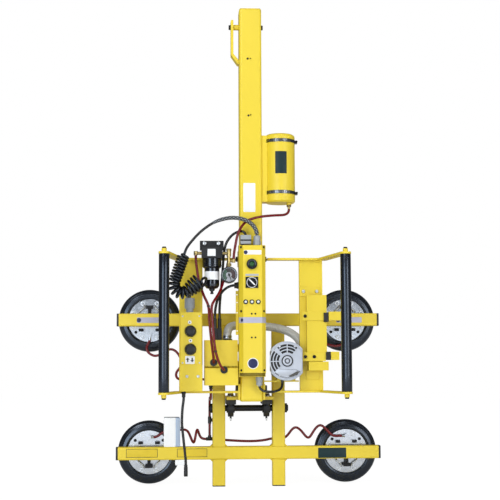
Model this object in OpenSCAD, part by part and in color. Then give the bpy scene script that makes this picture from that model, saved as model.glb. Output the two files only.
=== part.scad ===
// Vacuum lifter for glass and panels: a square mast that hangs from a hoist, a tilting frame
// with four suction pads, and the pump, reserve tank, filter, controls and handles on the mast.
// The origin is the middle of the lift eye, +Z is up, and the operator stands on the -Y side.

/* [Mast] */
// Width of the square mast tube
mast_w = 88; // [76:1:100]
// Wall of the mast tube
mast_wall = 5; // [3:0.5:8]
// Outer corner radius of the mast tube
mast_corner = 10; // [6:1:14]
// Height of the mast above the lift eye
mast_rise = 66; // [56:1:90]
// Length of the mast below the lower handle bar
mast_below = 37; // [30:1:42]
// Thickness of the mast's end caps
cap_t = 8; // [5:1:10]
// Distance from the mast's rear face to the lift eye
eye_back = 62; // [54:1:70]
// Diameter of the lift eye
eye_d = 32; // [20:1:40]
// Thickness of the lifting lug
lug_t = 16; // [10:1:24]
// Diameter of the frame bolts
bolt_d = 12; // [10:1:14]

/* [Tilting frame] */
// Depth of the tilt shaft below the mast's lower end
shaft_below = 32; // [30:1:44]
// Distance of the tilt shaft behind the lift eye
shaft_back = 75.4; // [70:0.2:84]
// Diameter of the tilt shaft
shaft_d = 25; // [20:1:28]
// Width of the square frame tubes
tube_w = 50.8; // [45:0.2:54]
// Wall of the frame tubes
tube_wall = 4; // [3:0.5:6]
// Corner radius of the frame tubes
tube_corner = 6; // [3:0.5:8]
// Distance of each spine from the middle
spine_x = 120; // [119:1:128]
// Half length of the cross bars without their end plugs
bar_half = 522; // [505:1:560]
// Depth of the lower bar below the tilt shaft
lower_drop = 177; // [170:1:190]
// Height between the two bars
bar_gap = 532; // [510:1:560]
// Length of the spine feet below the lower bar
foot_len = 106; // [80:1:130]
// Thickness of the black tube plugs
plug_t = 8; // [4:1:12]
// Leg of the corner gussets
gusset = 10; // [6:1:16]

/* [Pads] */
// Outer diameter of the suction pads
pad_d = 254; // [240:1:262]
// Diameter of the zinc plated pad plates
plate_d = 174; // [166:1:180]
// Thickness of the pad plates
plate_t = 8; // [6:0.5:12]
// Distance of the pads from the middle
pad_x = 400; // [386:1:408]
// Gap between a bar and a pad plate
pad_gap = 29; // [27:1:36]
// Depth of the rubber cup behind its plate
cup_depth = 22; // [19:1:26]
// Diameter of the pad posts
post_d = 20; // [14:1:24]
// Travel of a pad on its post
float_travel = 4; // [3:0.5:5]

/* [Control box] */
// Width of the control box
box_w = 102; // [92:1:104]
// Height of the control box
box_h = 505; // [490:1:515]
// Depth of the control box body on the mast
box_d = 45; // [40:1:50]
// Depth of the control cover
cover_d = 40; // [34:1:46]
// Height of the control box's top above the upper handle bar
box_rise = 49; // [45:1:55]
// Sheet thickness of the boxes
sheet = 2; // [1.5:0.5:3]
// Width of the chamfers on the control cover
cover_chamfer = 15; // [8:1:18]
// Diameter of the main lamp
lamp_d = 40; // [30:1:42]
// Width of the switch plate
switch_w = 48; // [44:1:54]
// Diameter of the small lamps
small_lamp_d = 18; // [12:1:20]

/* [Reserve tank] */
// Diameter of the reserve tank
tank_d = 119; // [110:1:124]
// Length of the reserve tank
tank_len = 276; // [262:1:284]
// Depth of the tank's top below the lift eye
tank_drop = 435; // [420:1:445]
// Depth of the cradle between mast and tank
cradle_d = 14; // [12:1:18]
// Width of the strap bands
strap_w = 13; // [10:1:15]

/* [Handles] */
// Depth of the upper handle bar below the lift eye
handle_drop = 935; // [900:1:980]
// Height between the handle bars
handle_gap = 514; // [506:1:520]
// Thickness of the handle bars
handle_t = 8; // [6:1:10]
// Width of the handle bars
handle_w = 40; // [36:1:44]
// Distance of the grips from the middle
grip_x = 334; // [326:1:344]
// Distance of the grips in front of the mast
grip_out = 250; // [240:1:270]
// Diameter of the grips
grip_d = 39; // [34:1:42]
// Diameter of the grip rods
rod_d = 25; // [20:1:26]
// Distance of the side plates from the middle
side_x = 234; // [230:1:238]
// Width of the side plates
side_w = 90; // [80:1:92]

/* [Pump] */
// Distance of the motor axis from the middle
motor_x = 133; // [130:1:134]
// Depth of the motor axis below the upper handle bar
motor_below = 396; // [391:1:399]
// Diameter of the motor's fan cover
motor_d = 150; // [140:1:152]
// Width across the flat sides of the motor
motor_w = 120; // [112:1:122]
// Number of blades on the cooling fan
blades = 9; // [5:1:12]

/* [Filter and gauge] */
// Distance of the filter axis from the middle
filter_x = 154; // [152:1:158]
// Width of the filter head
filter_w = 80; // [72:1:82]
// Diameter of the filter collar
collar_d = 73; // [66:1:76]
// Diameter of the filter bowl
bowl_d = 57; // [50:1:60]
// Diameter of the vacuum gauge
gauge_d = 62; // [52:1:66]

/* [Pendant] */
// Width of the pendant case
pendant_w = 80; // [74:1:84]
// Height of the pendant case
pendant_h = 212; // [200:1:216]
// Depth of the pendant case
pendant_d = 48; // [44:1:52]
// Diameter of the pendant buttons
button_d = 40; // [34:1:44]
// Travel of the pendant buttons
button_travel = 5; // [3:0.5:6]

/* [Hoses and cords] */
// Diameter of the red vacuum hoses
hose_d = 10; // [7:0.5:10]
// Diameter of the black control cables
cable_d = 10; // [7:0.5:10]
// Diameter of the grey pump hose
pump_hose_d = 33; // [28:1:34]
// Diameter of the curly cord
cord_d = 8; // [6:0.25:8.25]
// Turns on the tight run of the curly cord
tight_turns = 12; // [8:1:12]
// Turns round the bend of the curly cord
bend_turns = 4; // [3:1:4]
// Turns on the loose run of the curly cord
loose_turns = 7; // [5:1:7]

/* [Hidden] */

$fn = 48;
yellow = "#f2c91d";
black = "#1c1c1f";
zinc = "#bfc2c6";
steel = "#8f959b";
brass = "#b8923f";
grey = "#9aa0a8";
hose_red = "#6d1622";

// Clearances shared by every fit
run_gap = 0.05;
seat_gap = 0.2;
eps = 0.5;

// Handle bar heights: everything below the tank is placed from them, so it moves with the handles
handle_zs = [-handle_drop, -handle_drop - handle_gap];

// Mast stations
mast_drop = handle_drop + handle_gap + mast_below;
mast_rear = -eye_back;
mast_front = mast_rear - mast_w;
mast_y = mast_rear - mast_w / 2;
mast_half = mast_w / 2;
bolt_r = bolt_d / 2;
bolt_hole_r = bolt_r + 0.1;
head_t = 8;
hook_z = -2;
hook_t = 10;
hook_out = 22;
hook_w = 40;

// Frame stations
shaft_z = -mast_drop - shaft_below;
shaft_y = shaft_back;
tube_half = tube_w / 2;
lower_z = shaft_z - lower_drop;
upper_z = lower_z + bar_gap;
feet_z = lower_z - tube_half - foot_len;
bar_rear = shaft_y + tube_half;
shaft_half = spine_x + tube_half + 4;

// Bearing blocks under the tilt plate
bearing_h = 36.5;
bearing_w = 38;
bearing_web = 22;
bearing_base = 140;
bearing_base_t = 20;
bearing_r = 34;
bearing_bolt = 105;
bearing_x = 72;
tilt_t = 12;
tilt_low = shaft_z + bearing_h;
tilt_half = spine_x - tube_half - 3;
tilt_rear = shaft_y + bearing_base / 2 + 4;
cheek_t = 8;
cheek_h = 140;
cheek_front = mast_rear - 42;

// Pad stations
plate_y = bar_rear + pad_gap;
mount_t = 6;
hub_d = post_d + 24;
hub_front = bar_rear + mount_t + float_travel + 1;
nut_t = 8;
nut_y = plate_y + plate_t + seat_gap;
pad_r = pad_d / 2;
lip_y = plate_y + plate_t + cup_depth;
barb_off = 62;
barb_y = bar_rear + 8;

// Control box stations
box_top = handle_zs[0] + box_rise;
box_low = box_top - box_h;
box_front = mast_front - box_d;
cover_front = box_front - cover_d;
cover_low = box_low + 15;
cover_top = box_top - 4;
lamp_z = box_top - 77;
switch_z = box_top - 147;
small_lamp_z = box_top - 221;
small_lamp_pitch = 24;
panel_x = -3;
knob_r = 17;
knob_t = 8;
knob_shaft_r = 4;
switch_t = 4;

// Tank stations
tank_r = tank_d / 2;
tank_x = mast_half + cradle_d + tank_r;
tank_top = -tank_drop;
tank_low = tank_top - tank_len;
strap_z = [tank_top - 32, tank_low + 39];
strap_t = 1.4;
tank_port_x = tank_x + 35;

// Handle stations
bolt_zs = [handle_zs[0], handle_zs[1] + bolt_r + 9];
handle_y = mast_front + handle_w / 2;
bolt_y = handle_y - 3;
grip_y = mast_front - grip_out;
arm_x = side_x + side_w / 2;
side_t = 6;
side_flange = 24;
side_front = handle_y - side_t / 2;

// Pump stations
motor_z = handle_zs[0] - motor_below;
motor_r = motor_d / 2;
motor_front = -205;
bell_d = 42;
motor_back = -85;
pump_back = -15;
fan_r = 50;
motor_shaft_r = 7;

// Filter and gauge stations
filter_y = -195;
filter_top = handle_zs[0] + 68;
head_top = filter_top - 28;
head_low = handle_zs[0] - 3;
collar_low = head_low - 35;
bowl_low = collar_low - 88;
port_z = head_low + 20;
gauge_x = -89;
gauge_z = port_z - 85;
gauge_front = -232;
gauge_t = 42;

// Valve box stations
valve_l = -182;
valve_r = -mast_half - 10;
valve_top = handle_zs[1] + 199;
valve_low = bolt_zs[1] + bolt_r + 5;
valve_front = -168;
valve_step = 22;
valve_step_z = handle_zs[1] + 97;
valve_rear = -78;
grommet_a = [-147, handle_zs[1] + 113];
grommet_b = [-108, handle_zs[1] + 85];
grommet_r = 14;

// Pendant stations
pendant_x = -233;
pendant_top = handle_zs[0] - 210;
pendant_low = pendant_top - pendant_h;
pendant_front = -212;
pendant_rear = pendant_front + pendant_d;
button_x = -236;
button_zs = [pendant_top - 72, pendant_top - 141];
button_t = 9;
plug_x = -239;
plug_y = pendant_front + pendant_d / 2;
plug_top = pendant_top + 55;

// Routes of the hoses and cables, end to end. Heights are from the upper handle bar, so the hoses
// move with the handles, and the tank hose starts at the tank's port.
deck = [0, 0, handle_zs[0]];
tank_port = [tank_port_x, mast_y, tank_low];
tank_route = concat(
  [for (p = [[0, 0, -22.2], [0, 0, -34], [-18.5, -14, -47], [-60.5, -42, -53]]) p + tank_port],
  moved([
    [40, -172, 163], [-8, -180, 150], [-36, -192, 126], [-55, -204, 89], [-64, -206, 47], [-69, -198, 17],
    [-70, -195, 5], [-70, -195, -4.8]
  ]));
left_route = moved([
  [-216, -195, 9.8], [-216, -195, -5], [-212, -196, -40], [-203, -198, -95], [-186, -210, -145],
  [-168, -226, -188], [-165, -230, -241], [-155, -216, -335], [-148, -204, -383], [-147, -188, -401],
  [-147, -176.2, -401]
]);
right_route = moved([
  [-89, -172, 4.8], [-89, -172, -7], [-95, -174, -35], [-105, -177, -75], [-116, -190, -110],
  [-126, -208, -135], [-142, -226, -161], [-156, -238, -188], [-154, -242, -241], [-142, -234, -355],
  [-124, -224, -410], [-108, -210, -429], [-108, -198.2, -429]
]);
supply_route = moved([
  [-156, -94, -504.2], [-156, -94, -515], [-156, -76, -541], [-156, -20, -543], [-156, 40, -539],
  [-156, 84, -547], [-156, 105, -573], [-156, 109, -605], [-156, 109, -616.8]
]);
spine_route = moved([[-156, 109, -645.2], [-156, 109, -665], [-156, 109, -680], [-156, 109, -692.8]]);
wave_route = moved([
  [-170.2, 109, -707], [-178, 109, -707], [-190, 107, -701], [-200, 104, -679], [-208, 102, -667],
  [-213, 100, -687], [-221, 98, -721], [-234, 98, -705], [-246, 98, -675], [-266, 100, -671],
  [-310, 104, -672], [-346, 108, -681], [-366, 109, -696], [-372, 109, -698], [-381.8, 109, -698]
]);
cross_route = moved([
  [-141.8, 109, -707], [-132, 109, -707], [-90, 109, -712], [0, 109, -717], [60, 109, -714],
  [94, 109, -707], [105.8, 109, -707]
]);
right_wave_route = moved([
  [134.2, 109, -707], [142, 109, -707], [158, 108, -697], [176, 106, -673], [192, 104, -661],
  [212, 102, -673], [242, 102, -707], [256, 102, -693], [272, 102, -669], [292, 103, -653],
  [314, 105, -667], [340, 108, -695], [360, 109, -699], [370, 109, -698], [381.8, 109, -698]
]);
upper_left_route = moved([
  [-400, 109, -308.2], [-400, 109, -315], [-410, 107, -331], [-408, 104, -355], [-372, 100, -373],
  [-318, 98, -345], [-286, 96, -361], [-268, 92, -405], [-292, 90, -441], [-286, 92, -465],
  [-258, 96, -467], [-200, 104, -467], [-146, 111, -473], [-126, 112, -505], [-124, 112, -565],
  [-124, 111, -610], [-130, 109, -631], [-139.8, 109, -631]
]);
upper_right_route = moved([
  [400, 109, -308.2], [400, 109, -315], [386, 108, -329], [358, 106, -335], [330, 104, -329],
  [260, 104, -321], [190, 108, -343], [140, 111, -395], [123, 111, -465], [120, 110, -565],
  [120, 109, -665], [120, 109, -681], [120, 109, -692.8]
]);
connector_route = moved([
  [-24, -190, 87.2], [-24, -190, 97], [-40, -186, 105], [-72, -173, 93], [-98, -162, 59],
  [-107, -159, 15], [-110, -158, -25], [-116, -150, -105], [-122, -134, -175], [-123, -126, -219],
  [-123, -126, -230.8]
]);
control_route = moved([
  [-67.2, -172, -105], [-76, -172, -105], [-104, -164, -119], [-128, -148, -151], [-138, -136, -187],
  [-141, -130, -221], [-141, -130, -230.8]
]);
motor_route = moved([
  [28, -172, -488.2], [28, -172, -495], [36, -176, -507], [58, -184, -513], [88, -184, -512],
  [110, -170, -503], [118, -156, -489], [118, -156, -477.2]
]);
pump_route = moved([
  [205, -44, -352.8], [205, -44, -341], [196, -44, -313], [168, -44, -287], [122, -42, -268],
  [63, -38, -259], [-16, -36, -255], [-60, -45, -255], [-83, -72, -263], [-92, -100, -283],
  [-92, -100, -299], [-92, -100, -308.8]
]);
lead_route = moved([
  [-261.5, -190, -532.2], [-261.5, -190, -543], [-266, -190, -575], [-268, -190, -631], [-263, -190, -681],
  [-256, -190, -745], [-253, -190, -771], [-253, -190, -785]
]);
tail_route = moved([
  [-180, -267, -67], [-172, -257, -63], [-172, -245, -77], [-187, -231, -107], [-214, -216, -128],
  [-234, -195, -135], [-239, -188, -144], [-239, -188, -154.8]
]);
hose_sides = 8;
pump_hose_sides = 12;
cord_sides = 6;
lead_d = cable_d;
lead_plug_len = 44;

// Curly cord: its axis is a straight run, a bend and a second straight run in one upright plane
coil_start = [-258.5, -269, 7] + deck;
coil_down = unit([-37.5, 0, -106]);
coil_up = unit([0.68, 0, 0.73]);
coil_y = [0, 1, 0];
tight_len = 110;
loose_len = 76;
bend_r = 34;
bend_angle = acos(coil_down * coil_up);
bend_len = bend_r * bend_angle * PI / 180;
coil_len = tight_len + bend_len + loose_len;
bend_centre = coil_start + coil_down * tight_len + bend_r * left_of(coil_down);
tight_r = 19;
loose_r = 23;
loose_start = 0.4;
ramp_len = 14;
rings_per_turn = 8;
coil_turns = tight_turns + bend_turns + loose_turns;
coil_rings = coil_turns * rings_per_turn;

// Black cable that arches from the control box to the start of the curly cord
cable_end = coil_start - coil_down * (cord_d + seat_gap);
arch_route = concat(moved([
  [20, -190, 85.2], [20, -190, 97], [12, -194, 117], [-10, -202, 138], [-50, -214, 151],
  [-96, -230, 149], [-146, -247, 131], [-194, -259, 97], [-230, -266, 59]
]), [cable_end - coil_down * 12, cable_end]);

function unit(v) = v / norm(v);
function moved(route) = [for (p = route) p + deck];
function left_of(d) = [-d[2], 0, d[0]];
function mix(a, b, t) = a + (b - a) * t;
function ease(t) = let (c = min(max(t, 0), 1)) c * c * (3 - 2 * c);

// Point and heading of the curly cord's axis at distance s along it
function bend_heading(s) = let (a = (s - tight_len) / bend_r * 180 / PI)
  cos(a) * coil_down + sin(a) * left_of(coil_down);
function axis_heading(s) =
  s < tight_len ? coil_down : s < tight_len + bend_len ? bend_heading(s) : coil_up;
function axis_point(s) =
  s < tight_len ? coil_start + coil_down * s :
  s < tight_len + bend_len ? bend_centre - bend_r * left_of(bend_heading(s)) :
  bend_centre - bend_r * left_of(coil_up) + coil_up * (s - tight_len - bend_len);
// Distance along the axis at ring i: close turns, then open turns round the bend, then the loose run
function coil_s(i) = let (turn = i / rings_per_turn)
  turn < tight_turns ? tight_len * turn / tight_turns :
  turn < tight_turns + bend_turns ? tight_len + bend_len * (turn - tight_turns) / bend_turns :
  tight_len + bend_len + loose_len * (turn - tight_turns - bend_turns) / loose_turns;
function coil_radius(s) = mix(tight_r, loose_r, ease((s - tight_len) / bend_len - loose_start))
  * ease(s / ramp_len) * ease((coil_len - s) / (2 * ramp_len));
function coil_point(i) = let (s = coil_s(i), a = 360 * i / rings_per_turn)
  axis_point(s) + coil_radius(s) * (cos(a) * left_of(axis_heading(s)) + sin(a) * coil_y);
coil_points = concat(
  [coil_start - coil_down * cord_d, coil_start - coil_down * cord_d / 2],
  [for (i = [0 : coil_rings - 2]) coil_point(i)],
  squared(tail_route, 3)
);
coil_gap = min([for (i = [0 : len(coil_points) - 1]) for (j = [i + 5 : 1 : len(coil_points) - 1])
  norm(coil_points[i] - coil_points[j])]) - cord_d;
echo(curly_cord_least_gap = coil_gap);

// A smooth curve through points p, with n steps between neighbours
function curve_point(p, i, t) = let (
    a = p[max(i - 1, 0)], b = p[i], c = p[i + 1], d = p[min(i + 2, len(p) - 1)])
  0.5 * (2 * b + (c - a) * t + (2 * a - 5 * b + 4 * c - d) * t * t + (3 * b - a - 3 * c + d) * t * t * t);
function smooth(p, n) = concat(
  [for (i = [0 : len(p) - 2]) for (k = [0 : n - 1]) curve_point(p, i, k / n)], [p[len(p) - 1]]);
function heading(p, i) = unit(p[min(i + 1, len(p) - 1)] - p[max(i - 1, 0)]);
function square_to(t) = unit(cross(t, abs(t[2]) < 0.8 ? [0, 0, 1] : [0, 1, 0]));
function carry(n, t) = unit(n - (n * t) * t);
// Normals carried along the curve without twist
function normals(p) = [for (i = 0, n = square_to(heading(p, 0)); i < len(p);
  i = i + 1, n = i < len(p) ? carry(n, heading(p, i)) : n) n];

// Round tube along a list of points
module sweep(p, d, sides) {
  side = normals(p);
  rings = [for (i = [0 : len(p) - 1]) let (t = heading(p, i), b = cross(t, side[i]))
    for (k = [0 : sides - 1]) p[i] + d / 2 * (cos(360 * k / sides) * side[i] + sin(360 * k / sides) * b)];
  last = (len(p) - 1) * sides;
  walls = [for (i = [0 : len(p) - 2]) for (k = [0 : sides - 1]) let (
      a = i * sides + k, b = i * sides + (k + 1) % sides)
    each [[a, a + sides, b], [b, a + sides, b + sides]]];
  start_cap = [for (k = [1 : sides - 2]) [0, k, k + 1]];
  end_cap = [for (k = [1 : sides - 2]) [last, last + k + 1, last + k]];
  polyhedron(rings, concat(walls, start_cap, end_cap), convexity = 10);
}

// The same curve with a short straight piece at each end, so a hose meets its fitting squarely
function squared(p, n) = let (c = smooth(p, n), last = len(p) - 1, end = len(c) - 1) concat(
  [p[0], p[0] + unit(p[1] - p[0])], [for (i = [1 : end - 1]) c[i]],
  [p[last] - unit(p[last] - p[last - 1]), p[last]]);

module hose(route, d = hose_d, sides = hose_sides, steps = 2) {
  sweep(squared(route, steps), d, sides);
}

// Rounded rectangle
module rounded(w, h, r) {
  square([w - 2 * r, h], center = true);
  square([w, h - 2 * r], center = true);
  for (x = [-1, 1], y = [-1, 1])
    translate([x * (w / 2 - r), y * (h / 2 - r)]) circle(r);
}

// Square tube section
module tube_section(w, wall, r) {
  difference() {
    rounded(w, w, r);
    rounded(w - 2 * wall, w - 2 * wall, max(r - wall, 0.5));
  }
}

// Flat shape drawn in Y and Z, thickness t along +X from x
module plate_yz(x, t) {
  translate([x, 0, 0]) rotate([90, 0, 90]) linear_extrude(t) children();
}

// Flat shape drawn in X and Z, thickness t along -Y from y
module plate_xz(y, t) {
  translate([0, y, 0]) rotate([90, 0, 0]) linear_extrude(t) children();
}

module rod_x(x, y, z, r, len, sides = 0) {
  translate([x, y, z]) rotate([0, 90, 0]) cylinder(r = r, h = len, $fn = sides > 0 ? sides : $fn);
}

module rod_y(x, y, z, r, len, sides = 0) {
  translate([x, y, z]) rotate([-90, 0, 0]) cylinder(r = r, h = len, $fn = sides > 0 ? sides : $fn);
}

module rod_z(x, y, z, r, len, sides = 0) {
  translate([x, y, z]) cylinder(r = r, h = len, $fn = sides > 0 ? sides : $fn);
}

module block(low, high) {
  translate(low) cube(high - low);
}

// Mast
module mast_tube() {
  color(yellow) difference() {
    translate([0, mast_y, -mast_drop + cap_t])
      linear_extrude(mast_rise + mast_drop - 2 * cap_t) tube_section(mast_w, mast_wall, mast_corner);
    rod_x(-mast_w, mast_y, hook_z, bolt_hole_r, 2 * mast_w);
    for (z = bolt_zs) rod_x(-mast_w, bolt_y, z, bolt_hole_r, 2 * mast_w);
    for (z = [-139, -366]) rod_y(0, mast_front - eps, z, 3, mast_wall + 2 * eps);
  }
}

module mast_cap() {
  layers = 4;
  for (k = [0 : layers - 1])
    let (h = cap_t / layers, inset = cap_t - sqrt(pow(cap_t, 2) - pow(h * (k + 0.5), 2)),
      w = mast_w - 2 * inset)
      translate([0, 0, k * h]) linear_extrude(h) rounded(w, w, mast_corner - inset);
  translate([0, 0, -6]) linear_extrude(6)
    rounded(mast_w - 2 * mast_wall - 1, mast_w - 2 * mast_wall - 1, max(mast_corner - mast_wall, 1));
}

module mast_caps() {
  color(yellow) {
    translate([0, mast_y, mast_rise - cap_t]) mast_cap();
    translate([0, mast_y, -mast_drop + cap_t]) mirror([0, 0, 1]) mast_cap();
  }
}

module lift_lug() {
  lug_r = eye_d / 2 + 20;
  foot_t = 12;
  color(yellow) difference() {
    union() {
      plate_yz(-lug_t / 2, lug_t) {
        circle(lug_r);
        polygon([[mast_rear, -100], [mast_rear, 40], [-10, lug_r - 1], [lug_r - 6, -18]]);
      }
      block([-36, mast_rear, -112], [36, mast_rear + foot_t, 50]);
    }
    rod_x(-lug_t, 0, 0, eye_d / 2, 2 * lug_t);
  }
}

// Joggled strap on the mast's left side, with a bushing round its bolt
module hanger_hook() {
  out = mast_half + hook_out;
  color(yellow) {
    difference() {
      translate([0, hook_w / 2, 0]) plate_xz(mast_y, hook_w) polygon([
        [-mast_half, -155], [-mast_half - 6, -155], [-out - hook_t, -118], [-out - hook_t, 20],
        [-out - hook_t + 3, 24], [-out, 24], [-out, -114], [-mast_half, -140]]);
      rod_x(-out - 2 * hook_t, mast_y, hook_z, bolt_hole_r, 4 * hook_t);
    }
    difference() {
      rod_x(-out, mast_y, hook_z, bolt_r + 5, hook_out);
      rod_x(-out - eps, mast_y, hook_z, bolt_hole_r, hook_out + 2 * eps);
    }
  }
}

module bolt_x(x1, x2, y, z) {
  rod_x(x1, y, z, bolt_r, x2 - x1);
  rod_x(x1 - head_t, y, z, bolt_r + 4, head_t, 6);
  rod_x(x2, y, z, bolt_r + 4, head_t, 6);
}

module frame_bolts() {
  hook_left = -mast_half - hook_out - hook_t;
  color(black) {
    bolt_x(hook_left, mast_half, mast_y, hook_z);
    for (z = bolt_zs) bolt_x(-mast_half - cheek_t, mast_half + cheek_t, bolt_y, z);
  }
  color(zinc) for (x = [-1, 1], y = [-1, 1]) {
    rod_z(x * bearing_x, shaft_y + y * bearing_bolt / 2, tilt_low - bearing_base_t, bolt_r,
      tilt_t + bearing_base_t);
    rod_z(x * bearing_x, shaft_y + y * bearing_bolt / 2, tilt_low + tilt_t, bolt_r + 4, head_t, 6);
    rod_z(x * bearing_x, shaft_y + y * bearing_bolt / 2, tilt_low - bearing_base_t - head_t, bolt_r + 4,
      head_t, 6);
  }
}

// Plate and cheeks that carry the bearings behind the mast
module tilt_bracket() {
  tilt_top = tilt_low + tilt_t;
  color(yellow) difference() {
    union() {
      block([-tilt_half, mast_rear, tilt_low], [tilt_half, tilt_rear, tilt_top]);
      for (side = [0, 1]) mirror([side, 0, 0]) plate_yz(mast_half, cheek_t) polygon([
        [cheek_front, tilt_top + cheek_h], [mast_rear, tilt_top + cheek_h], [tilt_rear - 30, tilt_top + 14],
        [tilt_rear - 30, tilt_top], [mast_rear, tilt_top], [mast_rear, tilt_low], [cheek_front, tilt_low]]);
    }
    for (x = [-1, 1], y = [-1, 1])
      rod_z(x * bearing_x, shaft_y + y * bearing_bolt / 2, tilt_low - eps, bolt_hole_r, tilt_t + 2 * eps);
  }
}

module bearing_block(x) {
  base_low = tilt_low - bearing_base_t;
  difference() {
    union() {
      block([x - bearing_w / 2, shaft_y - bearing_base / 2, base_low],
        [x + bearing_w / 2, shaft_y + bearing_base / 2, tilt_low]);
      rod_x(x - bearing_web / 2, shaft_y, shaft_z, bearing_r, bearing_web);
      block([x - bearing_web / 2, shaft_y - bearing_r, shaft_z],
        [x + bearing_web / 2, shaft_y + bearing_r, tilt_low]);
      rod_x(x - bearing_web / 2 - 5, shaft_y, shaft_z, shaft_d / 2 + 6, bearing_web + 10);
      rod_z(x, shaft_y, shaft_z - bearing_r - 7, 4, 12);
    }
    rod_x(x - bearing_w, shaft_y, shaft_z, shaft_d / 2 + run_gap, 2 * bearing_w);
    for (y = [-1, 1])
      rod_z(x, shaft_y + y * bearing_bolt / 2, base_low - eps, bolt_hole_r, bearing_base_t + 2 * eps);
  }
}

module bearing_blocks() {
  color(black) for (x = [-1, 1]) bearing_block(x * bearing_x);
}

// Control box
module control_box() {
  flange = 10;
  color(yellow) difference() {
    union() {
      block([-box_w / 2, box_front, box_low], [box_w / 2, mast_front, box_top]);
      block([-box_w / 2 - flange, mast_front - 6, box_top - 344],
        [-box_w / 2 + sheet, mast_front - 3, box_top - 174]);
    }
    for (down = [189, 219, 259, 329])
      rod_y(-box_w / 2 - flange / 2, mast_front - 10, box_top - down, 2.5, 10);
    block([-box_w / 2 + sheet, box_front - eps, box_low + sheet],
      [box_w / 2 - sheet, mast_front - sheet, box_top - sheet]);
  }
}

module cover_section(inset) {
  half = box_w / 2 - inset;
  polygon([[-half, box_front + eps * (inset > 0 ? 1 : 0)], [-half, box_front - cover_d / 2],
    [-half + cover_chamfer, cover_front + inset], [half - cover_chamfer, cover_front + inset],
    [half, box_front - cover_d / 2], [half, box_front + eps * (inset > 0 ? 1 : 0)]]);
}

module control_cover() {
  color(yellow) difference() {
    translate([0, 0, cover_low]) linear_extrude(cover_top - cover_low) cover_section(0);
    translate([0, 0, cover_low + sheet])
      linear_extrude(cover_top - cover_low - 2 * sheet) cover_section(sheet);
    rod_y(panel_x, cover_front - eps, switch_z, knob_shaft_r + run_gap, sheet + 2 * eps);
  }
}

module lamp(x, z, d, out) {
  rod_y(x, cover_front - out / 2, z, d / 2, out / 2);
  rod_y(x, cover_front - out, z, d / 2 - 3, out / 2);
}

module panel_fittings() {
  color(black) {
    lamp(panel_x, lamp_z, lamp_d, 10);
    for (k = [-1 : 1]) lamp(panel_x + k * small_lamp_pitch, small_lamp_z, small_lamp_d, 8);
    difference() {
      block([panel_x - switch_w / 2, cover_front - switch_t, switch_z - switch_w * 0.44],
        [panel_x + switch_w / 2, cover_front, switch_z + switch_w * 0.44]);
      rod_y(panel_x, cover_front - switch_t - eps, switch_z, knob_shaft_r + run_gap, switch_t + 2 * eps);
    }
  }
}

// Rotary switch knob with its pointer bar and shaft
module switch_knob() {
  knob_back = cover_front - switch_t - seat_gap;
  color(black) {
    rod_y(panel_x, knob_back - knob_t, switch_z, knob_r, knob_t);
    rod_y(panel_x, knob_back, switch_z, knob_shaft_r, switch_t + sheet + 6);
  }
  color("white") translate([panel_x, knob_back - knob_t, switch_z]) rotate([0, 45, 0])
    translate([-knob_r + 2, -6, -4]) cube([2 * knob_r - 4, 6, 8]);
}

// Hexagon cable gland standing along +Z
module gland(r, h) {
  cylinder(r = r, h = h * 0.45, $fn = 6);
  translate([0, 0, h * 0.45]) cylinder(r = r * 0.86, h = h * 0.55);
}

module cable_glands() {
  plug_r = 19;
  color(grey) {
    block([-44, -209, box_top], [-4, -171, box_top + 38]);
    translate([20, -190, box_top]) gland(15, 36);
    translate([28, -172, box_low]) mirror([0, 0, 1]) gland(14, 32);
    rod_z(plug_x, plug_y, plug_top - 40, plug_r, 40);
    rod_z(plug_x, plug_y, pendant_top, plug_r - 5, plug_top - 40 - pendant_top);
  }
}

// Reserve tank
module reserve_tank() {
  dome = 8;
  edge = 6;
  color(yellow) {
    translate([tank_x, mast_y, tank_low]) rotate_extrude($fn = 72) polygon([
      [0, 0], [tank_r - edge, 0], [tank_r, edge], [tank_r, tank_len - dome - edge],
      [tank_r - 2, tank_len - dome], [tank_r - 8, tank_len - dome / 2], [tank_r * 0.55, tank_len - 1],
      [0, tank_len]]);
    rod_z(tank_port_x, mast_y, tank_low - 6, 10, 6);
  }
}

module tank_cradle() {
  half = 30;
  color(yellow) difference() {
    block([mast_half, mast_y - half, tank_low + 3], [tank_x - tank_r * 0.6, mast_y + half, tank_top - 10]);
    rod_z(tank_x, mast_y, tank_low - eps, tank_r + seat_gap, tank_len + 2 * eps);
    for (z = strap_z) translate([tank_x, mast_y, z - strap_w / 2 - 1])
      cylinder(r = tank_r + seat_gap + strap_t + 1, h = strap_w + 2);
  }
}

module tank_straps() {
  inner = tank_r + seat_gap / 2;
  color(steel) for (z = strap_z) {
    translate([tank_x, mast_y, z - strap_w / 2]) difference() {
      cylinder(r = inner + strap_t, h = strap_w);
      translate([0, 0, -eps]) cylinder(r = inner, h = strap_w + 2 * eps);
    }
    block([tank_x + inner + strap_t - 0.4, mast_y - 14, z - strap_w / 2 + 1],
      [tank_x + inner + strap_t + 8, mast_y + 8, z + strap_w / 2 - 1]);
    rod_y(tank_x + inner + strap_t + 4, mast_y - 20, z, 4, 6, 6);
  }
}

// Handle frame: flat bars bent forward to the grip rods, with a round knuckle at each turn
// and a notch in the upper bar for the bolt head
module handle_bar(z) {
  arm = [grip_x - arm_x, grip_y - handle_y];
  knuckle_r = handle_w / 2 + 0.8;
  translate([0, 0, z - handle_t / 2]) linear_extrude(handle_t) {
    translate([mast_half, handle_y - handle_w / 2]) square([arm_x - mast_half, handle_w]);
    translate([arm_x, handle_y]) circle(knuckle_r);
    translate([arm_x, handle_y]) rotate(atan2(arm[1], arm[0]))
      translate([0, -handle_w / 2]) square([norm(arm), handle_w]);
    translate([grip_x, grip_y]) circle(knuckle_r);
  }
}

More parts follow.
